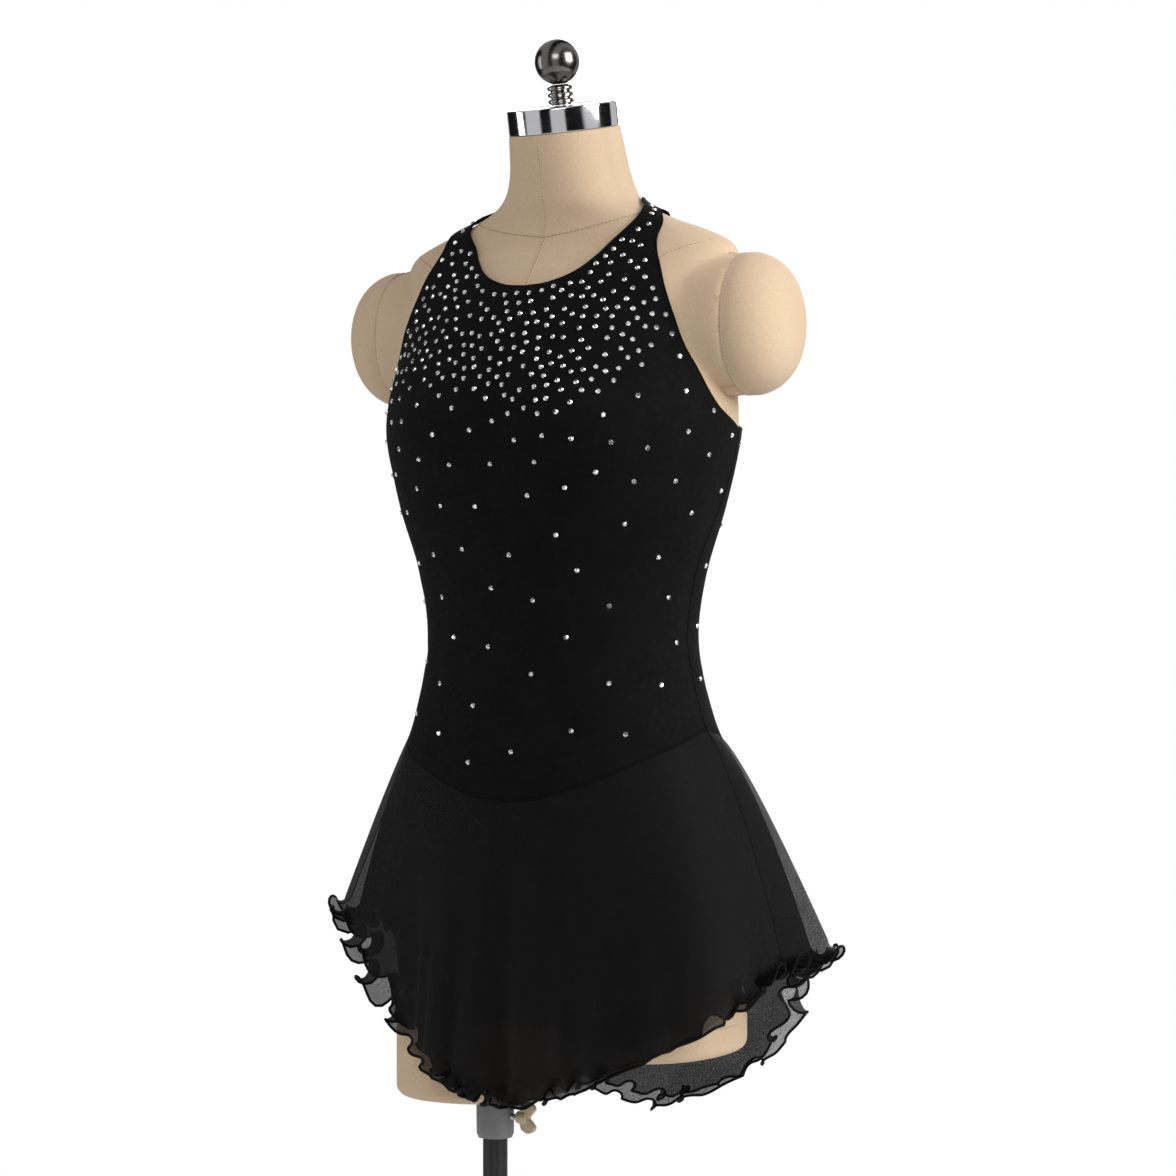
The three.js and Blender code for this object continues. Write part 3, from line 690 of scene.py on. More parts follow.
KNIT, THREAD, LINEN = knit(), rolled_thread(), linen()
CHIFFON = {name: chiffon("chiffon_" + "_".join(name), cover_and_shade) for name, cover_and_shade in COVER_AND_SHADE.items()}
# The seam rolls are a slightly darker copy of the linen: painted shade along the seams.
SEAM_ROLL_SHADED = linen("linen_seam_painted_shade", 0.97)
# The stitches are a much darker copy of the linen: painted shade of the stitch holes.
STITCH_HOLE_SHADE = linen("linen_stitch_hole_shade", 0.42)
CHROME = chrome("chrome", (0.8, 0.8, 0.82), 0.06)
STEM_CHROME = chrome("stem_chrome", (0.34, 0.32, 0.31), 0.14)
SMOKED = chrome("smoked_chrome", (0.19, 0.185, 0.175), 0.19)
BOARD = plastic("grey_board", (0.09, 0.09, 0.092), 0.75)
COLLAR = plastic("grey_plastic", (0.2, 0.2, 0.205), 0.5)
CREAM = plastic("cream_plastic", (0.62, 0.5, 0.33), 0.4)
CHARCOAL = powder_coat("charcoal_coat", (0.022, 0.022, 0.024))
ZINC = zinc()
STONE = crystal()


# ---------------------------------------------------------------- the form

RING = 96                            # points round a stub or a shoulder cap


def body_rows():
    """Heights of the trunk's rings, closer together round the shoulders and neck."""
    return np.concatenate([np.arange(TRUNK_FLOOR, 560, 6), np.arange(560, 695, 2),
                           np.arange(695, 740, 1.5), np.arange(740, 797, 4)])


def all_round(count):
    """Angles in degrees all the way round from centre back, without the end."""
    return np.linspace(-180, 180, count, endpoint=False)


def body_columns():
    """Angles round the body, closer together at the arm stumps."""
    t = all_round(300)
    return t + 14 * np.sin(np.radians(2 * t))


def torso():
    angle, z = np.meshgrid(body_columns(), body_rows())
    obj = grid_object("linen_torso", skin(angle, z), LINEN, "linen", node="form_torso",
                      wrap=True, ends=True)
    sharpen(obj, 55)


def stub_ring(side, z, off):
    """A ring round a leg stub, `off` outside its side."""
    turn = circle(RING)
    c, s = np.cos(turn), np.sin(turn)
    n = STUB["square"]
    r = (np.abs(c / (STUB["half"] + off)) ** n + np.abs(s / (STUB["deep"] + off)) ** n) ** (-1 / n)
    return np.stack([side * STUB["x"] + r * c, STUB["mid"] + r * s, np.full(RING, float(z))], -1)


def stub(side, name, node):
    """A leg stub with a rounded lower edge, its linen turned in over the board."""
    low = STUB["long"] if side < 0 else STUB["short"]
    r = STUB["round"]
    rings = [stub_ring(side, low + 0.5, -r - 4)]
    for turn in np.radians(np.arange(0, 91, 10)):
        up, inward = r * (1 - math.cos(turn)), r * (1 - math.sin(turn))
        rings.append(stub_ring(side, low + 0.4 + up, -inward))
    rings += [stub_ring(side, z, 0) for z in range(low + 16, TRUNK_FLOOR + 4, 6)]
    rings.append(stub_ring(side, STUB["into"], -9))
    grid_object(name, np.array(rings), LINEN, "linen", node=node, wrap=True, ends=True)


def shoulder_cap(side, name, node):
    """A padded cap: half an oval, fuller than a ball, flat where it meets the stump."""
    across, up = STUMP_DEEP + CAP["lip"], ARM["tall"] + CAP["lip"]
    turn = np.radians(np.linspace(0, 1, 34) ** 0.7 * 89.5)[:, None]
    around = circle(RING)[None]
    share = np.cos(turn) ** CAP["square"]
    soft = 1.2 * bump(np.degrees(turn), 0, 9)          # the rim is turned in
    x = side * (ARM["plane"] + CAP["gap"] + CAP["bulge"] * np.sin(turn)) + 0 * around
    y = ARM["y"] + (across * share - soft) * np.cos(around)
    z = ARM["z"] + (up * share - soft) * np.sin(around)
    obj = grid_object(name, np.stack([x, y, z], -1), LINEN, "linen", node=node,
                      wrap=True, ends=True)
    sharpen(obj, 60)


def cap_edge(side):
    """The seam round a shoulder cap."""
    around = circle(RING)
    across, up = STUMP_DEEP, ARM["tall"]
    x = np.full_like(around, side * (ARM["plane"] + 0.2))
    return np.stack([x, ARM["y"] + across * np.cos(around), ARM["z"] + up * np.sin(around)], -1)


PRINCESS = table(                    # seam from the shoulder over the bust to the hem
    "z angle",
    (66, 26),
    (200, 27),
    (310, 29),
    (370, 30),
    (485, 32),
    (545, 34),
    (600, 42),
    (655, 58),
    (686, 72),
    (706, 93),
)
BACK_PRINCESS = table(
    "z angle",
    (66, 150),
    (310, 148),
    (425, 146),
    (545, 140),
    (620, 132),
    (670, 119),
    (706, 97),
)
NECK_SEAM = table(                   # where the neck joins the shoulders
    "angle z",
    (0, 704),
    (45, 711),
    (90, 729),
    (130, 737),
    (180, 739),
)
SEAMS = dict(roll=0.42, low=66, waist=370.0, shows=560)  # roll: the raised line's radius


def seam_line(angle, z):
    return above(angle, z, np.full(np.shape(z), 0.05))


def form_seams():
    """The form's raised seams, and stitches on those that can be seen."""
    z, down, whole = (np.arange(SEAMS["low"], top, 4.0) for top in (705, 566, 792))
    lines = []
    for side in (-1, 1):
        lines.append(seam_line(side * follow(PRINCESS, "z", "angle", z), z))
        lines.append(seam_line(side * follow(BACK_PRINCESS, "z", "angle", z), z))
        lines.append(seam_line(side * 90 + 0 * down, down))
    middles = [seam_line(0 * whole, whole), seam_line(180 + 0 * whole, whole)]
    # The raised seams use the darker copy of the linen, painted shade along them.
    tubes("form_seams", lines + middles, SEAMS["roll"], SEAM_ROLL_SHADED, sides=6)
    angle = all_round(120)
    rings = [cap_edge(side) for side in (-1, 1)]
    rings.append(seam_line(angle, follow(NECK_SEAM, "angle", "z", np.abs(angle))))
    waist = seam_line(angle, SEAMS["waist"] + 0 * angle)         # under the dress
    tubes("form_ring_seams", [*rings, waist], SEAMS["roll"], SEAM_ROLL_SHADED, sides=6, closed=True)
    tops = [line[line[:, 2] > SEAMS["shows"]] for line in lines]
    sewn = middles + [line for line in tops if len(line) > 3] + rings
    # Stitches in dark linen, painted shade of their holes along the seams that can be seen.
    dashes(sewn, "form_stitches", 1.5, 3.4, 0.26, STITCH_HOLE_SHADE, SEAMS["roll"])


def tilted(points):
    """From the neck's top, where the rings lean forward, to form coordinates."""
    t = math.radians(NECK["tilt"])
    points = np.asarray(points, float)
    x, y, z = points[..., 0], points[..., 1], points[..., 2]
    return np.stack([x, TRUNK["mid"][-1] + y * math.cos(t) - z * math.sin(t),
                     NECK["top"] + y * math.sin(t) + z * math.cos(t)], -1)


def neck_cap():
    r, h = NECK["cap"], NECK["cap_high"]
    profile = [(r - 2, 0.3), *arc((r - 0.8, 1.1), 0.8, -90, 0), (r, h - 2),
               *arc((r - 1.6, h - 1.6), 1.6, 0, 90), (r - 6, h), (r - 7, h - 0.7),
               (14, h - 0.7), (13, h), (2, h)]
    lathe("chrome_neck_cap", profile, tilted, CHROME, "chrome", "neck_cap", segments=128)


FINIAL = dict(stem=8.2, ring=10.8, high=17, ball=18.8, seat=5)


def finial():
    """A stem of three rounded rings and a ball on top."""
    foot = NECK["cap_high"] + 0.3
    ring, stem, ball = FINIAL["ring"], FINIAL["stem"], FINIAL["ball"]
    profile = [(stem, foot)]
    for i in range(3):
        middle = foot + 3.2 + 5.4 * i
        profile += [(stem, middle - 2.4), *arc((ring - 2.1, middle), 2.1, -80, 80, 9),
                    (stem, middle + 2.4)]
    profile.append((stem - 1, foot + FINIAL["high"]))
    lathe("ringed_stem", profile, tilted, STEM_CHROME, "chrome", "finial_stem", segments=64)
    base = foot + FINIAL["high"] + 0.3
    middle = base + math.sqrt(ball ** 2 - FINIAL["seat"] ** 2)
    start = -math.degrees(math.acos(FINIAL["seat"] / ball))
    lathe("smoked_ball", arc((0, middle), ball, start, 89.5, 48), tilted, SMOKED,
          "smoked_chrome", "finial_ball")


BOARD_INSET = 11.5


def boards():
    """The boards that close the stubs; the pole's hole in the longer stub's board is not cut here.
    """
    for side, low, node in ((-1, STUB["long"], "stub_board_long"),
                            (1, STUB["short"], "stub_board_short")):
        shape = [stub_ring(side, low + up, -BOARD_INSET - inward)
                 for up, inward in ((0, 1), (0.6, 0.2), (1.0, 0), (3, 0))]
        grid_object(node + "_faced", np.array(shape), BOARD, "board", node=node,
                    wrap=True, ends=True)


# ---------------------------------------------------------------- the stand

POLE = dict(radius=10.4, inside=330)
COLLAR_SIZE = dict(top=17, bottom=15.2, high=38, bore=10.7)
SCREW = dict(radius=2.6, drop=20, end=30)
KEY = dict(low=22, hub=5.2, half=13, out=40, thick=5)
BASE = dict(radius=175, thick=10, edge=3)
HUB = dict(radius=27, neck=18, high=42)


def on_pole(points):
    """From heights over the floor, about the pole's axis, to form coordinates."""
    return np.asarray(points, float) - WORN


def under_stub(points):
    """From the collar's top, about the pole's axis, to form coordinates."""
    return np.asarray(points, float) + np.array([*POLE_AT, STUB["long"]])


def stand():
    foot = BASE["thick"] + 0.3
    r, top = POLE["radius"], FORM_HEIGHT + POLE["inside"]
    profile = [(r - 1, foot), (r, foot + 1), (r, top - 1), (r - 1, top)]
    lathe("pole_tube", profile, on_pole, CHARCOAL, "charcoal", "pole", "base")

    r, h, e = BASE["radius"], BASE["thick"], BASE["edge"]
    profile = [(r - 1, 0), *arc((r - 0.8, 0.8), 0.8, -90, 0, 4), (r, h - e),
               *arc((r - e, h - e), e, 0, 90, 8), (60, h), (34, h)]
    lathe("base_disc", profile, on_pole, CHARCOAL, "charcoal", "base_plate", "base", 160)

    r, neck, top = HUB["radius"], HUB["neck"], foot + HUB["high"]
    bore = COLLAR_SIZE["bore"]
    profile = [(bore, foot), (r - 0.5, foot), (r, foot + 0.5), (r, foot + 6),
               *arc((r - 2, foot + 6), 2, 0, 80, 5), (neck + 1.5, foot + 13),
               (neck, foot + 20), (neck, top - 2), *arc((neck - 1.5, top - 1.5), 1.5, 0, 90, 5),
               (bore, top)]
    lathe("hub_casting", profile, on_pole, CHARCOAL, "charcoal", "base_hub", "base", ring=True)


def collar():
    """The sleeve that clamps the form to the pole, with a rim and a foot bead."""
    high, bore = COLLAR_SIZE["high"], COLLAR_SIZE["bore"]
    top, bottom = COLLAR_SIZE["top"], COLLAR_SIZE["bottom"]
    profile = [(bore, -0.3), (top - 0.6, -0.3), (top, -0.9), (top, -4.2), (top - 0.9, -5),
               (bottom + 0.6, 3 - high), (bottom, 2 - high), (bottom - 0.8, -0.3 - high),
               (bore, -0.3 - high)]
    lathe("collar_sleeve", profile, under_stub, COLLAR, "grey_plastic", "pole_collar", ring=True)


def sideways(points):
    """Turns an upright shape to lie along +X at the screw's height, under the stub."""
    p = np.asarray(points, float)
    flat = np.stack([p[..., 2], p[..., 1], -p[..., 0] - SCREW["drop"]], -1)
    return under_stub(flat)


def clamp_screw():
    r, start, end = SCREW["radius"], COLLAR_SIZE["bore"] + 0.1, SCREW["end"]
    profile = [(r - 0.7, start), (r - 0.2, start + 0.6)]
    for i in range(18):
        z = start + 0.8 + i * 0.9
        profile += [(r, z), (r - 0.35, z + 0.45)]
    profile += [(r - 0.1, end - 0.6), (r - 0.6, end)]
    lathe("screw_thread", profile, sideways, ZINC, "screw_steel", "clamp_screw", "key", 32)


def clamp_key():
    """Two soft-edged wings on a hub, moulded in one."""
    half, low, out, hub = KEY["half"], KEY["low"], KEY["out"], KEY["hub"]
    side = [(0, low + 2), (hub - 1, low + 2.2), (half * 0.8, low + 4), (half, low + 9),
            (half + 0.2, (low + out) / 2 + 3), (half * 0.85, out - 1.5), (half * 0.55, out),
            (hub * 0.6, out - 3.5), (0, out - 6.5)]
    outline = side + [(-x, z) for x, z in reversed(side[1:-1])]
    edit = bmesh.new()
    ring = [edit.verts.new((x, -KEY["thick"] / 2, z)) for x, z in outline]
    face = edit.faces.new(ring)
    grown = bmesh.ops.extrude_face_region(edit, geom=[face])
    moved = [v for v in grown["geom"] if isinstance(v, bmesh.types.BMVert)]
    bmesh.ops.translate(edit, verts=moved, vec=(0, KEY["thick"], 0))
    bmesh.ops.recalc_face_normals(edit, faces=edit.faces)
    bmesh.ops.bevel(edit, geom=edit.edges, offset=1.6, segments=3, affect="EDGES", profile=0.6)
    bmesh.ops.triangulate(edit, faces=[f for f in edit.faces if len(f.verts) > 4])
    mesh = bpy.data.meshes.new("key_wings")
    edit.to_mesh(mesh)
    edit.free()
    points = np.array([v.co for v in mesh.vertices])
    mesh.vertices.foreach_set("co", world(sideways(points)).ravel())
    mesh.polygons.foreach_set("use_smooth", [True] * len(mesh.polygons))
    mesh.update()
    wings = add_object("key_wings", mesh, CREAM, "key")
    sharpen(wings, 50)
    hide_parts("clamp_key")
    top = SCREW["end"] + 2
    profile = [(hub - 1, low), *arc((hub - 0.8, low + 0.8), 0.8, -90, 0, 4), (hub, top - 1.5),
               *arc((hub - 1.5, top - 1.5), 1.5, 0, 90, 5), (SCREW["radius"] + 0.4, top)]
    lathe("key_boss", profile, sideways, CREAM, "cream_plastic", "clamp_key", "key", 48)


# ---------------------------------------------------------------- the bodice

CREASES = table(                     # soft stretch lines of the bodice, raised or sunk
    "angle z turn long wide rise",
    (58, 470, 62, 60, 9, -0.7),
    (70, 440, 48, 48, 7, 0.6),
    (-60, 478, -58, 66, 9, -0.7),
    (-74, 432, -44, 44, 7, 0.6),
    (82, 372, 12, 42, 6, -0.8),
    (-80, 366, -10, 50, 6, -0.8),
    (88, 346, 4, 36, 5, 0.6),
    (-92, 342, 6, 40, 5, 0.6),
    (36, 352, 10, 60, 8, -0.45),
    (-28, 340, -8, 72, 8, -0.45),
    (12, 318, 3, 64, 7, 0.35),
    (44, 610, 66, 50, 8, -0.5),
    (-47, 604, -70, 56, 8, -0.5),
    (158, 356, -6, 52, 6, -0.8),
    (-164, 350, 8, 60, 6, -0.8),
    (180, 334, 0, 66, 6, 0.7),
    (130, 470, -50, 56, 8, -0.6),
    (-133, 462, 52, 60, 8, -0.6),
    (112, 520, -70, 44, 7, 0.5),
    (-110, 515, 66, 48, 7, 0.5),
)
BODY_RADIUS = 125                    # turns an angle into a length along the cloth


def crease_height(angle, z):
    """Relief of the bodice's soft creases: long, narrow and tilted by `turn` degrees."""
    total = np.zeros(np.broadcast(angle, z).shape)
    for a, h, turn, long_, wide, rise in zip(*CREASES.values()):
        x = np.radians(wrapped(angle - a)) * BODY_RADIUS
        y = z - h
        c, s = math.cos(math.radians(turn)), math.sin(math.radians(turn))
        along, across = x * c + y * s, -x * s + y * c
        total += rise * np.exp(-(along / long_) ** 2 - (across / wide) ** 2)
    return total


def on_body(angle, z, off=CLOTH_OFF):
    """Points on the bodice's cloth, with its creases."""
    return above(angle, z, off + crease_height(angle, z))


def rows_up(count, crowd=1.0):
    """Shares of the way up; crowd over 1 brings the rows closer at the top."""
    return 1 - (1 - np.linspace(0, 1, count)) ** crowd


def front_points(us, vs, lift=0.0):
    u, v = np.meshgrid(us, vs)
    return on_body(*front_angles(u, v), CLOTH_OFF + lift)


def back_points(us, vs, lift=0.0):
    u, v = np.meshgrid(us, vs)
    return on_body(*back_angles(u, v), CLOTH_OFF + lift)


def bodice():
    us = np.linspace(0, 1, 150)
    front = grid_object("bodice_front_cloth", front_points(us, rows_up(150, 1.12)), KNIT, "knit",
                        node="bodice_front", thickness=CLOTH)
    back = grid_object("bodice_back_cloth", back_points(us, rows_up(90)), KNIT, "knit",
                       node="bodice_back", thickness=CLOTH)
    return front, back


def band_path(side, v):
    """Angles, heights and offsets along a neck band at one share of its width."""
    start = STRAP["angle"]
    t = np.linspace(0, 1, 60)
    angle = mix(start, 180 + side * BAND["lap"], t)
    low, high = (follow(BAND_EDGES, "angle", edge, angle) for edge in ("low", "high"))
    rest = smooth(angle, start, BAND["rests"])
    lapped = smooth(side * angle, 180 - 3.5 * BAND["lap"], 180 - 1.6 * BAND["lap"])
    off = mix(CLOTH_OFF, BAND["off"], rest) + BAND["lift"] * lapped
    return side * angle, mix(low, high, v), off


def neck_bands():
    """The straps' ends, carried round the back of the neck; the left laps over the right."""
    made = []
    for side, word in ((1, "left"), (-1, "right")):
        rows = [above(*band_path(side, v)) for v in np.linspace(0, 1, 12)]
        points = np.array(rows)[:, ::side]
        made.append(grid_object(f"neck_band_{word}_cloth", points, KNIT, "knit",
                                node=f"neck_band_{word}", thickness=CLOTH))
    return made


ROLL = dict(radius=0.75, sunk=0.35)  # the rolled edge, let into the cloth's outer face


def edge_lines():
    """Neckline, armholes and back edge of the bodice."""
    v_arm = np.linspace(SIDE_SHARE, 1, 140)
    u_top = np.linspace(STRAP_SHARE / 2, 1 - STRAP_SHARE / 2, 260)
    return {
        "neckline": front_points(u_top, [1.0], -ROLL["sunk"])[0],
        "armhole_left": front_points([1.0], v_arm, -ROLL["sunk"])[:, 0],
        "armhole_right": front_points([0.0], v_arm, -ROLL["sunk"])[:, 0],
        "back_top": back_points(np.linspace(0, 1, 160), [1.0], -ROLL["sunk"])[0],
    }


def bodice_edges():
    """Rolled edges of neckline, armholes, back and bands."""
    edges = list(edge_lines().values())
    for side in (1, -1):
        for v in (0.0, 1.0):
            angle, z, off = band_path(side, v)
            edges.append(above(angle, z, off - ROLL["sunk"]))
    tubes("bodice_edge_roll", edges, ROLL["radius"], KNIT)


def dashes(paths, name, long_, pitch, radius, material, lift=0.0):
    """Rows of single stitches along paths in millimetres; lift moves them off the body."""
    pieces = []
    for path in paths:
        run = np.concatenate([[0], np.cumsum(np.linalg.norm(np.diff(path, axis=0), axis=1))])
        starts = np.arange(pitch, run[-1] - pitch, pitch)
        at = [np.stack([np.interp(starts + d, run, path[:, k]) for k in range(3)], -1)
              for d in (0, long_ / 2, long_)]
        at = np.stack(at, 1)
        outward = unit(at * [1, 1, 0])
        pieces += list(at + outward * lift)
    tubes(name, pieces, radius, material, sides=5)


TURNING = 7.0                        # width of the turned edge, where its stitches run
PANEL_RUN = dict(front=420, half=190, back=250)  # lengths that turn it into shares of a panel
STITCH_LIFT = 0.12


def bodice_stitches():
    v_arm = np.linspace(SIDE_SHARE + 0.02, 0.985, 120)
    u_top = np.linspace(STRAP_SHARE / 2 + 0.02, 1 - STRAP_SHARE / 2 - 0.02, 240)
    top_in = 1 - TURNING / PANEL_RUN["front"]
    side_in = TURNING / PANEL_RUN["half"]
    back_in = 1 - TURNING / PANEL_RUN["back"]
    paths = [
        front_points(u_top, [top_in], STITCH_LIFT)[0],
        front_points([1 - side_in], v_arm, STITCH_LIFT)[:, 0],
        front_points([side_in], v_arm, STITCH_LIFT)[:, 0],
        back_points(np.linspace(0.02, 0.98, 160), [back_in], STITCH_LIFT)[0],
    ]
    dashes(paths, "edge_stitches", 2.3, 3.2, 0.2, THREAD)


def bodice_seams():
    """Side seams, and the seam that joins the skirt."""
    v = np.linspace(0, SIDE_SHARE, 80)
    sides = [front_points([u], v)[:, 0] for u in (0.0, 1.0)]
    tubes("side_seams", sides, 0.55, KNIT, sides=6)
    angle = all_round(240)
    ring = on_body(angle, seam_height(angle), CLOTH_OFF - 0.3)
    tubes("waist_seam", [ring], 0.7, KNIT, closed=True)


# ---------------------------------------------------------------- stones

STONE_SIZE = dict(radius=2.2, girdle=0.35, high=1.5, table=0.52, sides=9)
DENSE_EDGE = table(                  # lower edge of the crowded part of the yoke
    "angle z",
    (-180, 660),
    (-130, 612),
    (-100, 582),
    (-60, 588),
    (-30, 582),
    (-10, 573),
    (8, 561),
    (30, 564),
    (47, 580),
    (66, 616),
    (100, 650),
    (180, 660),
)
STONE_STEP = dict(dense=8.7, start=10.5, rise=15.0, over=34.0, grow=0.05, low=20.0, rim=5.5)
STONE_SEED = 11
STONE_TILT = 0.07                    # how unevenly they sit, in radians


def stone_shape():
    """One stone: a flat back, a girdle, a ring of crown facets and a table."""
    n = STONE_SIZE["sides"]
    turn = np.arange(n) * 2 * np.pi / n
    half = turn + np.pi / n
    r, g = STONE_SIZE["radius"], STONE_SIZE["girdle"]
    low = np.stack([r * np.cos(turn), r * np.sin(turn), 0 * turn], -1)
    rim = low + [0, 0, g]
    top_r = r * STONE_SIZE["table"]
    top = np.stack([top_r * np.cos(half), top_r * np.sin(half), 0 * half + STONE_SIZE["high"]], -1)
    faces = []
    for i in range(n):
        j = (i + 1) % n
        faces += [[i, j, n + j, n + i], [n + i, n + j, 2 * n + i], [n + j, 2 * n + j, 2 * n + i]]
    faces += [list(range(2 * n, 3 * n)), list(range(n))[::-1]]
    return np.concatenate([low, rim, top]), faces


def stone_gap(angle, z):
    """How far apart stones lie at a place on the bodice."""
    edge = follow(DENSE_EDGE, "angle", "z", angle)
    below = np.maximum(edge - z, 0)
    sparse = (STONE_STEP["start"] + STONE_STEP["grow"] * below
              + STONE_STEP["rise"] * (1 - np.exp(-below / STONE_STEP["over"])))
    return np.where(below > 0, sparse, STONE_STEP["dense"])


def from_edges(points, rims):
    """Distance from each point to the nearest of the edges' points."""
    return np.array([np.linalg.norm(rims - p, axis=1).min() for p in points])


def scatter(points, normals, gaps, random):
    """Picks places at random, each pair at least the mean of its two gaps apart."""
    order = random.permutation(len(points))
    kept = []
    for i in order:
        if kept:
            away = np.linalg.norm(points[kept] - points[i], axis=1)
            if (away < (gaps[kept] + gaps[i]) / 2).any():
                continue
        kept.append(i)
    return points[kept], normals[kept]


def stones():
    """Places spread at random over the bodice, clear of its edges, one mesh for all."""
    random = np.random.default_rng(STONE_SEED)
    rims = np.concatenate([*edge_lines().values(),
                           *[front_points([u], np.linspace(0, SIDE_SHARE, 80))[:, 0]
                             for u in (0, 1)]])
    places, normals, gaps = [], [], []
    for angles_of, count in ((front_angles, 12000), (back_angles, 3500)):
        u, v = random.random(count), random.random(count)
        angle, z = angles_of(u, v)
        place = on_body(angle, z)
        fits = z > seam_height(angle) + STONE_STEP["low"]
        fits[fits] = from_edges(place[fits], rims) > STONE_STEP["rim"]
        places.append(place[fits])
        normals.append(skin_normal(angle, z)[fits])
        gaps.append(stone_gap(wrapped(angle), z)[fits])
    place, normal = scatter(np.concatenate(places), np.concatenate(normals),
                            np.concatenate(gaps), random)
    shape, faces = stone_shape()
    spin = random.random(len(place)) * 2 * np.pi
    side = unit(np.cross(normal, [0.0, 0.0, 1.0]))
    up = np.cross(normal, side)
    across = side * np.cos(spin)[:, None] + up * np.sin(spin)[:, None]
    away = np.cross(normal, across)
    tilt = random.normal(0, STONE_TILT, (len(place), 2))
    normal = unit(normal + across * tilt[:, :1] + away * tilt[:, 1:])
    verts = (place[:, None] + shape[None, :, :1] * across[:, None]
             + shape[None, :, 1:2] * away[:, None] + shape[None, :, 2:] * normal[:, None])
    count = len(shape)
    all_faces = [[i + k * count for i in face] for k in range(len(place)) for face in faces]
    mesh = make_mesh("stones", world(verts.reshape(-1, 3)), all_faces, flat=True)
    add_object("clear_stones", mesh, STONE, "form")


# ---------------------------------------------------------------- the skirt

SKIRT_CREASES = table(               # narrower folds; begins: where, 0 at the seam
    "angle rise wide begins",
    (-172, -3.5, 4.0, 0.3),
    (-158, 4.0, 3.6, 0.1),
    (-149, -3.0, 3.0, 0.45),
    (-126, 3.4, 4.2, 0.2),
    (-117, -3.0, 3.2, 0.35),
    (-99, 3.2, 3.4, 0.15),
    (-80, -2.6, 3.0, 0.4),
    (-62, 2.4, 2.8, 0.25),
    (-55, -2.2, 2.6, 0.5),
    (-38, 2.2, 3.0, 0.1),
    (-33, -1.8, 2.2, 0.4),
    (-18, -2.4, 2.6, 0.2),
    (-3, 2.2, 2.2, 0.35),
    (12, 2.4, 2.8, 0.12),
    (28, -2.6, 2.6, 0.3),
    (35, 2.2, 2.4, 0.5),
    (53, 3.0, 3.0, 0.18),
    (59, -2.8, 2.6, 0.42),
    (76, 3.0, 3.0, 0.22),
    (94, -3.0, 3.2, 0.36),
    (112, -5.4, 3.6, 0.2),
    (119, 6.0, 3.0, 0.4),
    (127, -6.5, 3.4, 0.3),
    (135, 8.0, 3.8, 0.2),
    (155, -3.6, 3.4, 0.32),
    (162, 3.0, 2.8, 0.48),
    (176, 3.6, 3.6, 0.18),
)
OUTER = dict(inset=0.0, lower=0, within=0, folds=1.0, waves=20, phase=0.0, creases=1.0,
             shift=0)
UNDER = dict(inset=1.6, lower=6, within=13, folds=0.75, waves=15, phase=1.22, creases=0.7,
             shift=9)
CURL = dict(reach=19.0, most=125.0, sway=3.4, least=0.08, full=1.15)  # the stretched hem's ruffle
RUFFLED = table(                     # how far the hem was stretched as it was rolled
    "angle size",
    (-180, 0.70),
    (-163, 0.30),
    (-145, 0.85),
    (-125, 0.50),
    (-104, 0.95),
    (-86, 1.10),
    (-70, 1.00),
    (-57, 0.95),
    (-46, 0.30),
    (-28, 0.14),
    (-16, 0.55),
    (-8, 0.90),
    (3, 0.65),
    (13, 0.25),
    (24, 0.50),
    (33, 0.75),
    (42, 0.16),
    (68, 0.22),
    (78, 0.90),
    (94, 1.10),
    (110, 0.75),
    (123, 1.00),
    (138, 0.25),
    (152, 0.60),
    (166, 0.30),
    (180, 0.70),
)


def hanging(layer, angle, down):
    """The hanging cloth without its hem's ruffle; down is 0 at the seam and 1 at the hem."""
    seam = seam_height(angle)
    top = above(angle, seam, np.full(np.shape(seam), CLOTH_OFF - layer["inset"] - 0.3))
    turn = np.radians(angle)
    heading = np.stack([np.sin(turn), -np.cos(turn), 0 * turn], -1)
    fall = seam - follow(HEM, "angle", "z", angle) + layer["lower"]
    out = follow(HEM, "angle", "out", angle) * down ** 0.8 - layer["within"] * down ** 1.6
    for at, rise, wide in zip(*FOLDS.values()):
        out = out + layer["folds"] * rise * bump(wrapped(angle - at), 0, wide) * down ** 1.6
    for at, rise, wide, begins in zip(*SKIRT_CREASES.values()):
        run = np.clip((down - begins) / (1 - begins), 0, 1) ** 1.4
        out = out + layer["creases"] * rise * bump(wrapped(angle - at), 0, wide) * run
    drop = np.stack([0 * fall, 0 * fall, -fall * down], -1)
    return top + heading * out[..., None] + drop


def ruffle(layer, angle):
    """The hem's curl in radians at each angle and its sway sideways: uneven waves."""
    t = np.radians(angle)
    phase = (2 * layer["waves"] * t + layer["phase"] + 1.3 * np.sin(3 * t + layer["phase"])
             + 0.9 * np.sin(7 * t + 2) + 0.5 * np.sin(13 * t + 5))
    size = follow(RUFFLED, "angle", "size", wrapped(angle + layer["shift"]))
    size = np.clip(size + 0.14 * np.sin(17 * t + 3 * layer["phase"]), CURL["least"], CURL["full"])
    return np.radians(CURL["most"]) * size * np.sin(phase), size * np.sin(2 * phase)


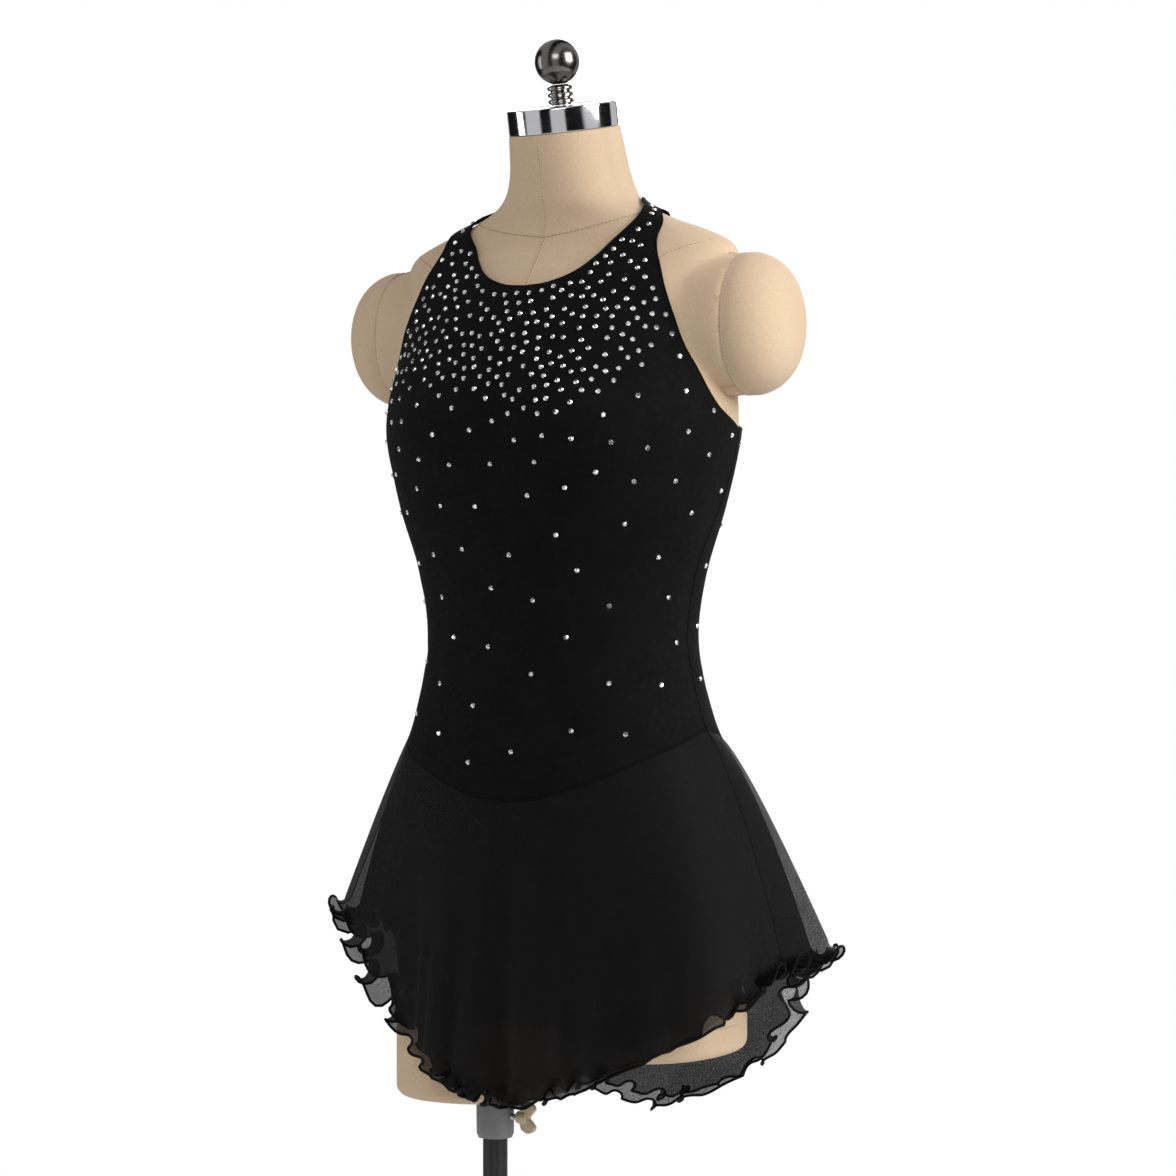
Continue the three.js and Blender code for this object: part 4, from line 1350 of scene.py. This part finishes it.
def skirt_points(layer, angles, rows_down):
    """A panel's points, rows from the hem up: the last stretch above the hem curls."""
    angle, down = np.meshgrid(angles, rows_down)
    angle = wrapped(angle)
    flat = hanging(layer, angle, down)
    across = angle[:1]

    def level(share, turn=0.0):
        return hanging(layer, wrapped(across + turn) if turn else across, share)

    hem = level(np.ones_like(across))
    length = np.linalg.norm(hem - level(np.full_like(across, 0.9)), axis=-1) * 10
    start = 1 - CURL["reach"] / length
    begin = level(start)
    heading = unit(begin - level(start - 0.01))
    side = unit(level(start, 0.3) - level(start, -0.3))
    outward = unit(np.cross(side, -heading))
    curl, swing = ruffle(layer, across)
    curl = np.where(np.abs(curl) < 1e-3, 1e-3, curl)
    share = np.clip((down - start) * length, 0, CURL["reach"]) / CURL["reach"]
    forward = CURL["reach"] / curl * np.sin(curl * share)
    lifted = CURL["reach"] / curl * (1 - np.cos(curl * share))
    sway = -CURL["sway"] * swing * share ** 2
    curled = (begin + heading * forward[..., None] + outward * lifted[..., None]
              + side * sway[..., None])
    return np.where((down > start)[..., None], curled, flat)


PANEL_COLUMNS = 340
HEM_ROWS, CLOTH_ROWS = 15, 40


def panel_rows():
    """Shares of the way down, from the hem up: fine where the hem curls."""
    return np.concatenate([1 - np.linspace(0, 0.12, HEM_ROWS), np.linspace(0.86, 0.0, CLOTH_ROWS)])


def skirt():
    """Four sheer panels, each with a rolled hem of thread."""
    for word, layer in (("outer", OUTER), ("under", UNDER)):
        for part, middle in (("front", 0), ("back", 180)):
            angles = middle + np.linspace(-90, 90, PANEL_COLUMNS)
            points = skirt_points(layer, angles, panel_rows())
            name = f"skirt_{word}_{part}"
            panel = grid_object(name + "_cloth", points, CHIFFON[word, part], "sheer", node=name)
            hem = tubes(name + "_hem", [points[0]], 1.2, THREAD, sides=7)


def skirt_side_seams():
    """French seams where front and back panels meet."""
    paths = [skirt_points(layer, np.array([side - 0.01, side + 0.01]), panel_rows())[:, 0]
             for layer in (OUTER, UNDER) for side in (-90, 90)]
    tubes("skirt_side_seams", paths, 0.6, THREAD, sides=6)


# ---------------------------------------------------------------- studio

VIEW_AZIMUTH = 30.0                  # degrees, from straight in front towards the wearer's left
VIEW_HEIGHT = 1.071
VIEW_DISTANCE = 2.6
IMAGE_SIZE = 1176                    # pixels
PIXELS_PER_METRE = 1205              # at the body's axis
AXIS_PIXEL = 562                     # column of the body's axis
SENSOR = 36.0


def camera():
    data = bpy.data.cameras.new("camera")
    data.sensor_width = SENSOR
    data.lens = PIXELS_PER_METRE * VIEW_DISTANCE / IMAGE_SIZE * SENSOR
    data.shift_x = (IMAGE_SIZE / 2 - AXIS_PIXEL) / IMAGE_SIZE
    obj = linked("camera", data)
    turn = math.radians(VIEW_AZIMUTH)
    axis = Vector((WORN[0] * MM, WORN[1] * MM, VIEW_HEIGHT))
    obj.location = axis + VIEW_DISTANCE * Vector((math.sin(turn), -math.cos(turn), 0))
    obj.rotation_euler = (math.pi / 2, 0, turn)
    bpy.context.scene.camera = obj


LAMPS_AIM = 1.15                     # height over the floor that the lamps look at


def soft_box(name, azimuth, height, distance, size, power):
    """A square lamp that looks at the dress from an azimuth."""
    data = bpy.data.lights.new(name, "AREA")
    data.shape = "RECTANGLE"
    data.size, data.size_y = size
    data.energy = power
    obj = linked(name, data)
    turn = math.radians(azimuth)
    middle = Vector((WORN[0] * MM, WORN[1] * MM, LAMPS_AIM))
    obj.location = middle + Vector((math.sin(turn) * distance, -math.cos(turn) * distance,
                                    height - LAMPS_AIM))
    obj.rotation_euler = (middle - obj.location).to_track_quat("-Z", "Y").to_euler()


FLOOR_RADIUS = 2.7
WHITE = (1, 1, 1, 1)
FLAG = (0.015, 0.015, 0.015, 1)      # dark flags between the soft boxes, seen in the chrome


def studio():
    soft_box("key_box", 92, 2.1, 2.2, (1.4, 1.6), 62)
    soft_box("front_box", 20, 2.6, 3.2, (1.6, 1.2), 24)
    soft_box("left_box", -70, 1.4, 2.6, (0.8, 1.8), 12)
    soft_box("back_box", 200, 2.0, 2.6, (1.6, 1.6), 30)

    world_ = bpy.data.worlds.new("studio")
    bpy.context.scene.world = world_
    world_.use_nodes = True
    tree = world_.node_tree
    new = tree.nodes.new
    where, seen = new("ShaderNodeTexCoord"), new("ShaderNodeLightPath")
    back = feed(tree, tree.nodes["Background"], {"Color": WHITE, "Strength": 1.0})
    bands, shade = new("ShaderNodeTexWave"), new("ShaderNodeValToRGB")
    bands.wave_type, bands.bands_direction = "BANDS", "X"
    feed(tree, bands, {"Scale": 0.36, "Phase Offset": 0.9, "Vector": where.outputs["Generated"]})
    dark, light = shade.color_ramp.elements
    dark.position, dark.color = 0.34, FLAG
    light.position, light.color = 0.5, WHITE
    feed(tree, shade, {"Fac": bands.outputs["Fac"]})
    fill = feed(tree, new("ShaderNodeBackground"), {"Strength": 0.55,
                                                    "Color": shade.outputs["Color"]})
    choose = feed(tree, new("ShaderNodeMixShader"), {
        "Fac": seen.outputs["Is Camera Ray"], 1: fill.outputs["Background"],
        2: back.outputs["Background"]})
    feed(tree, tree.nodes["World Output"], {"Surface": choose.outputs["Shader"]})

    bpy.ops.mesh.primitive_circle_add(vertices=128, radius=FLOOR_RADIUS, fill_type="NGON",
                                      location=(0, 0, -0.0005))
    floor = bpy.context.object
    floor.name = "floor"
    pale = Finish("pale_floor", (0.86, 0.86, 0.85), 0.6)
    pale.bump(pale.noise(0.01, 3), 0.0001, 0.3)
    floor.data.materials.append(pale.material)
    bpy.context.scene.view_settings.view_transform = "Standard"


# ---------------------------------------------------------------- the whole

camera()
torso()
stub(-1, "linen_stub_long", "form_stub_long")
stub(1, "linen_stub_short", "form_stub_short")
shoulder_cap(1, "linen_cap_left", "shoulder_cap_left")
shoulder_cap(-1, "linen_cap_right", "shoulder_cap_right")
form_seams()
neck_cap()
finial()
boards()
stand()
collar()
clamp_screw()
clamp_key()

front, back = bodice()
bands = neck_bands()
bodice_edges()
bodice_stitches()
bodice_seams()
stones()
skirt()
skirt_side_seams()
studio()
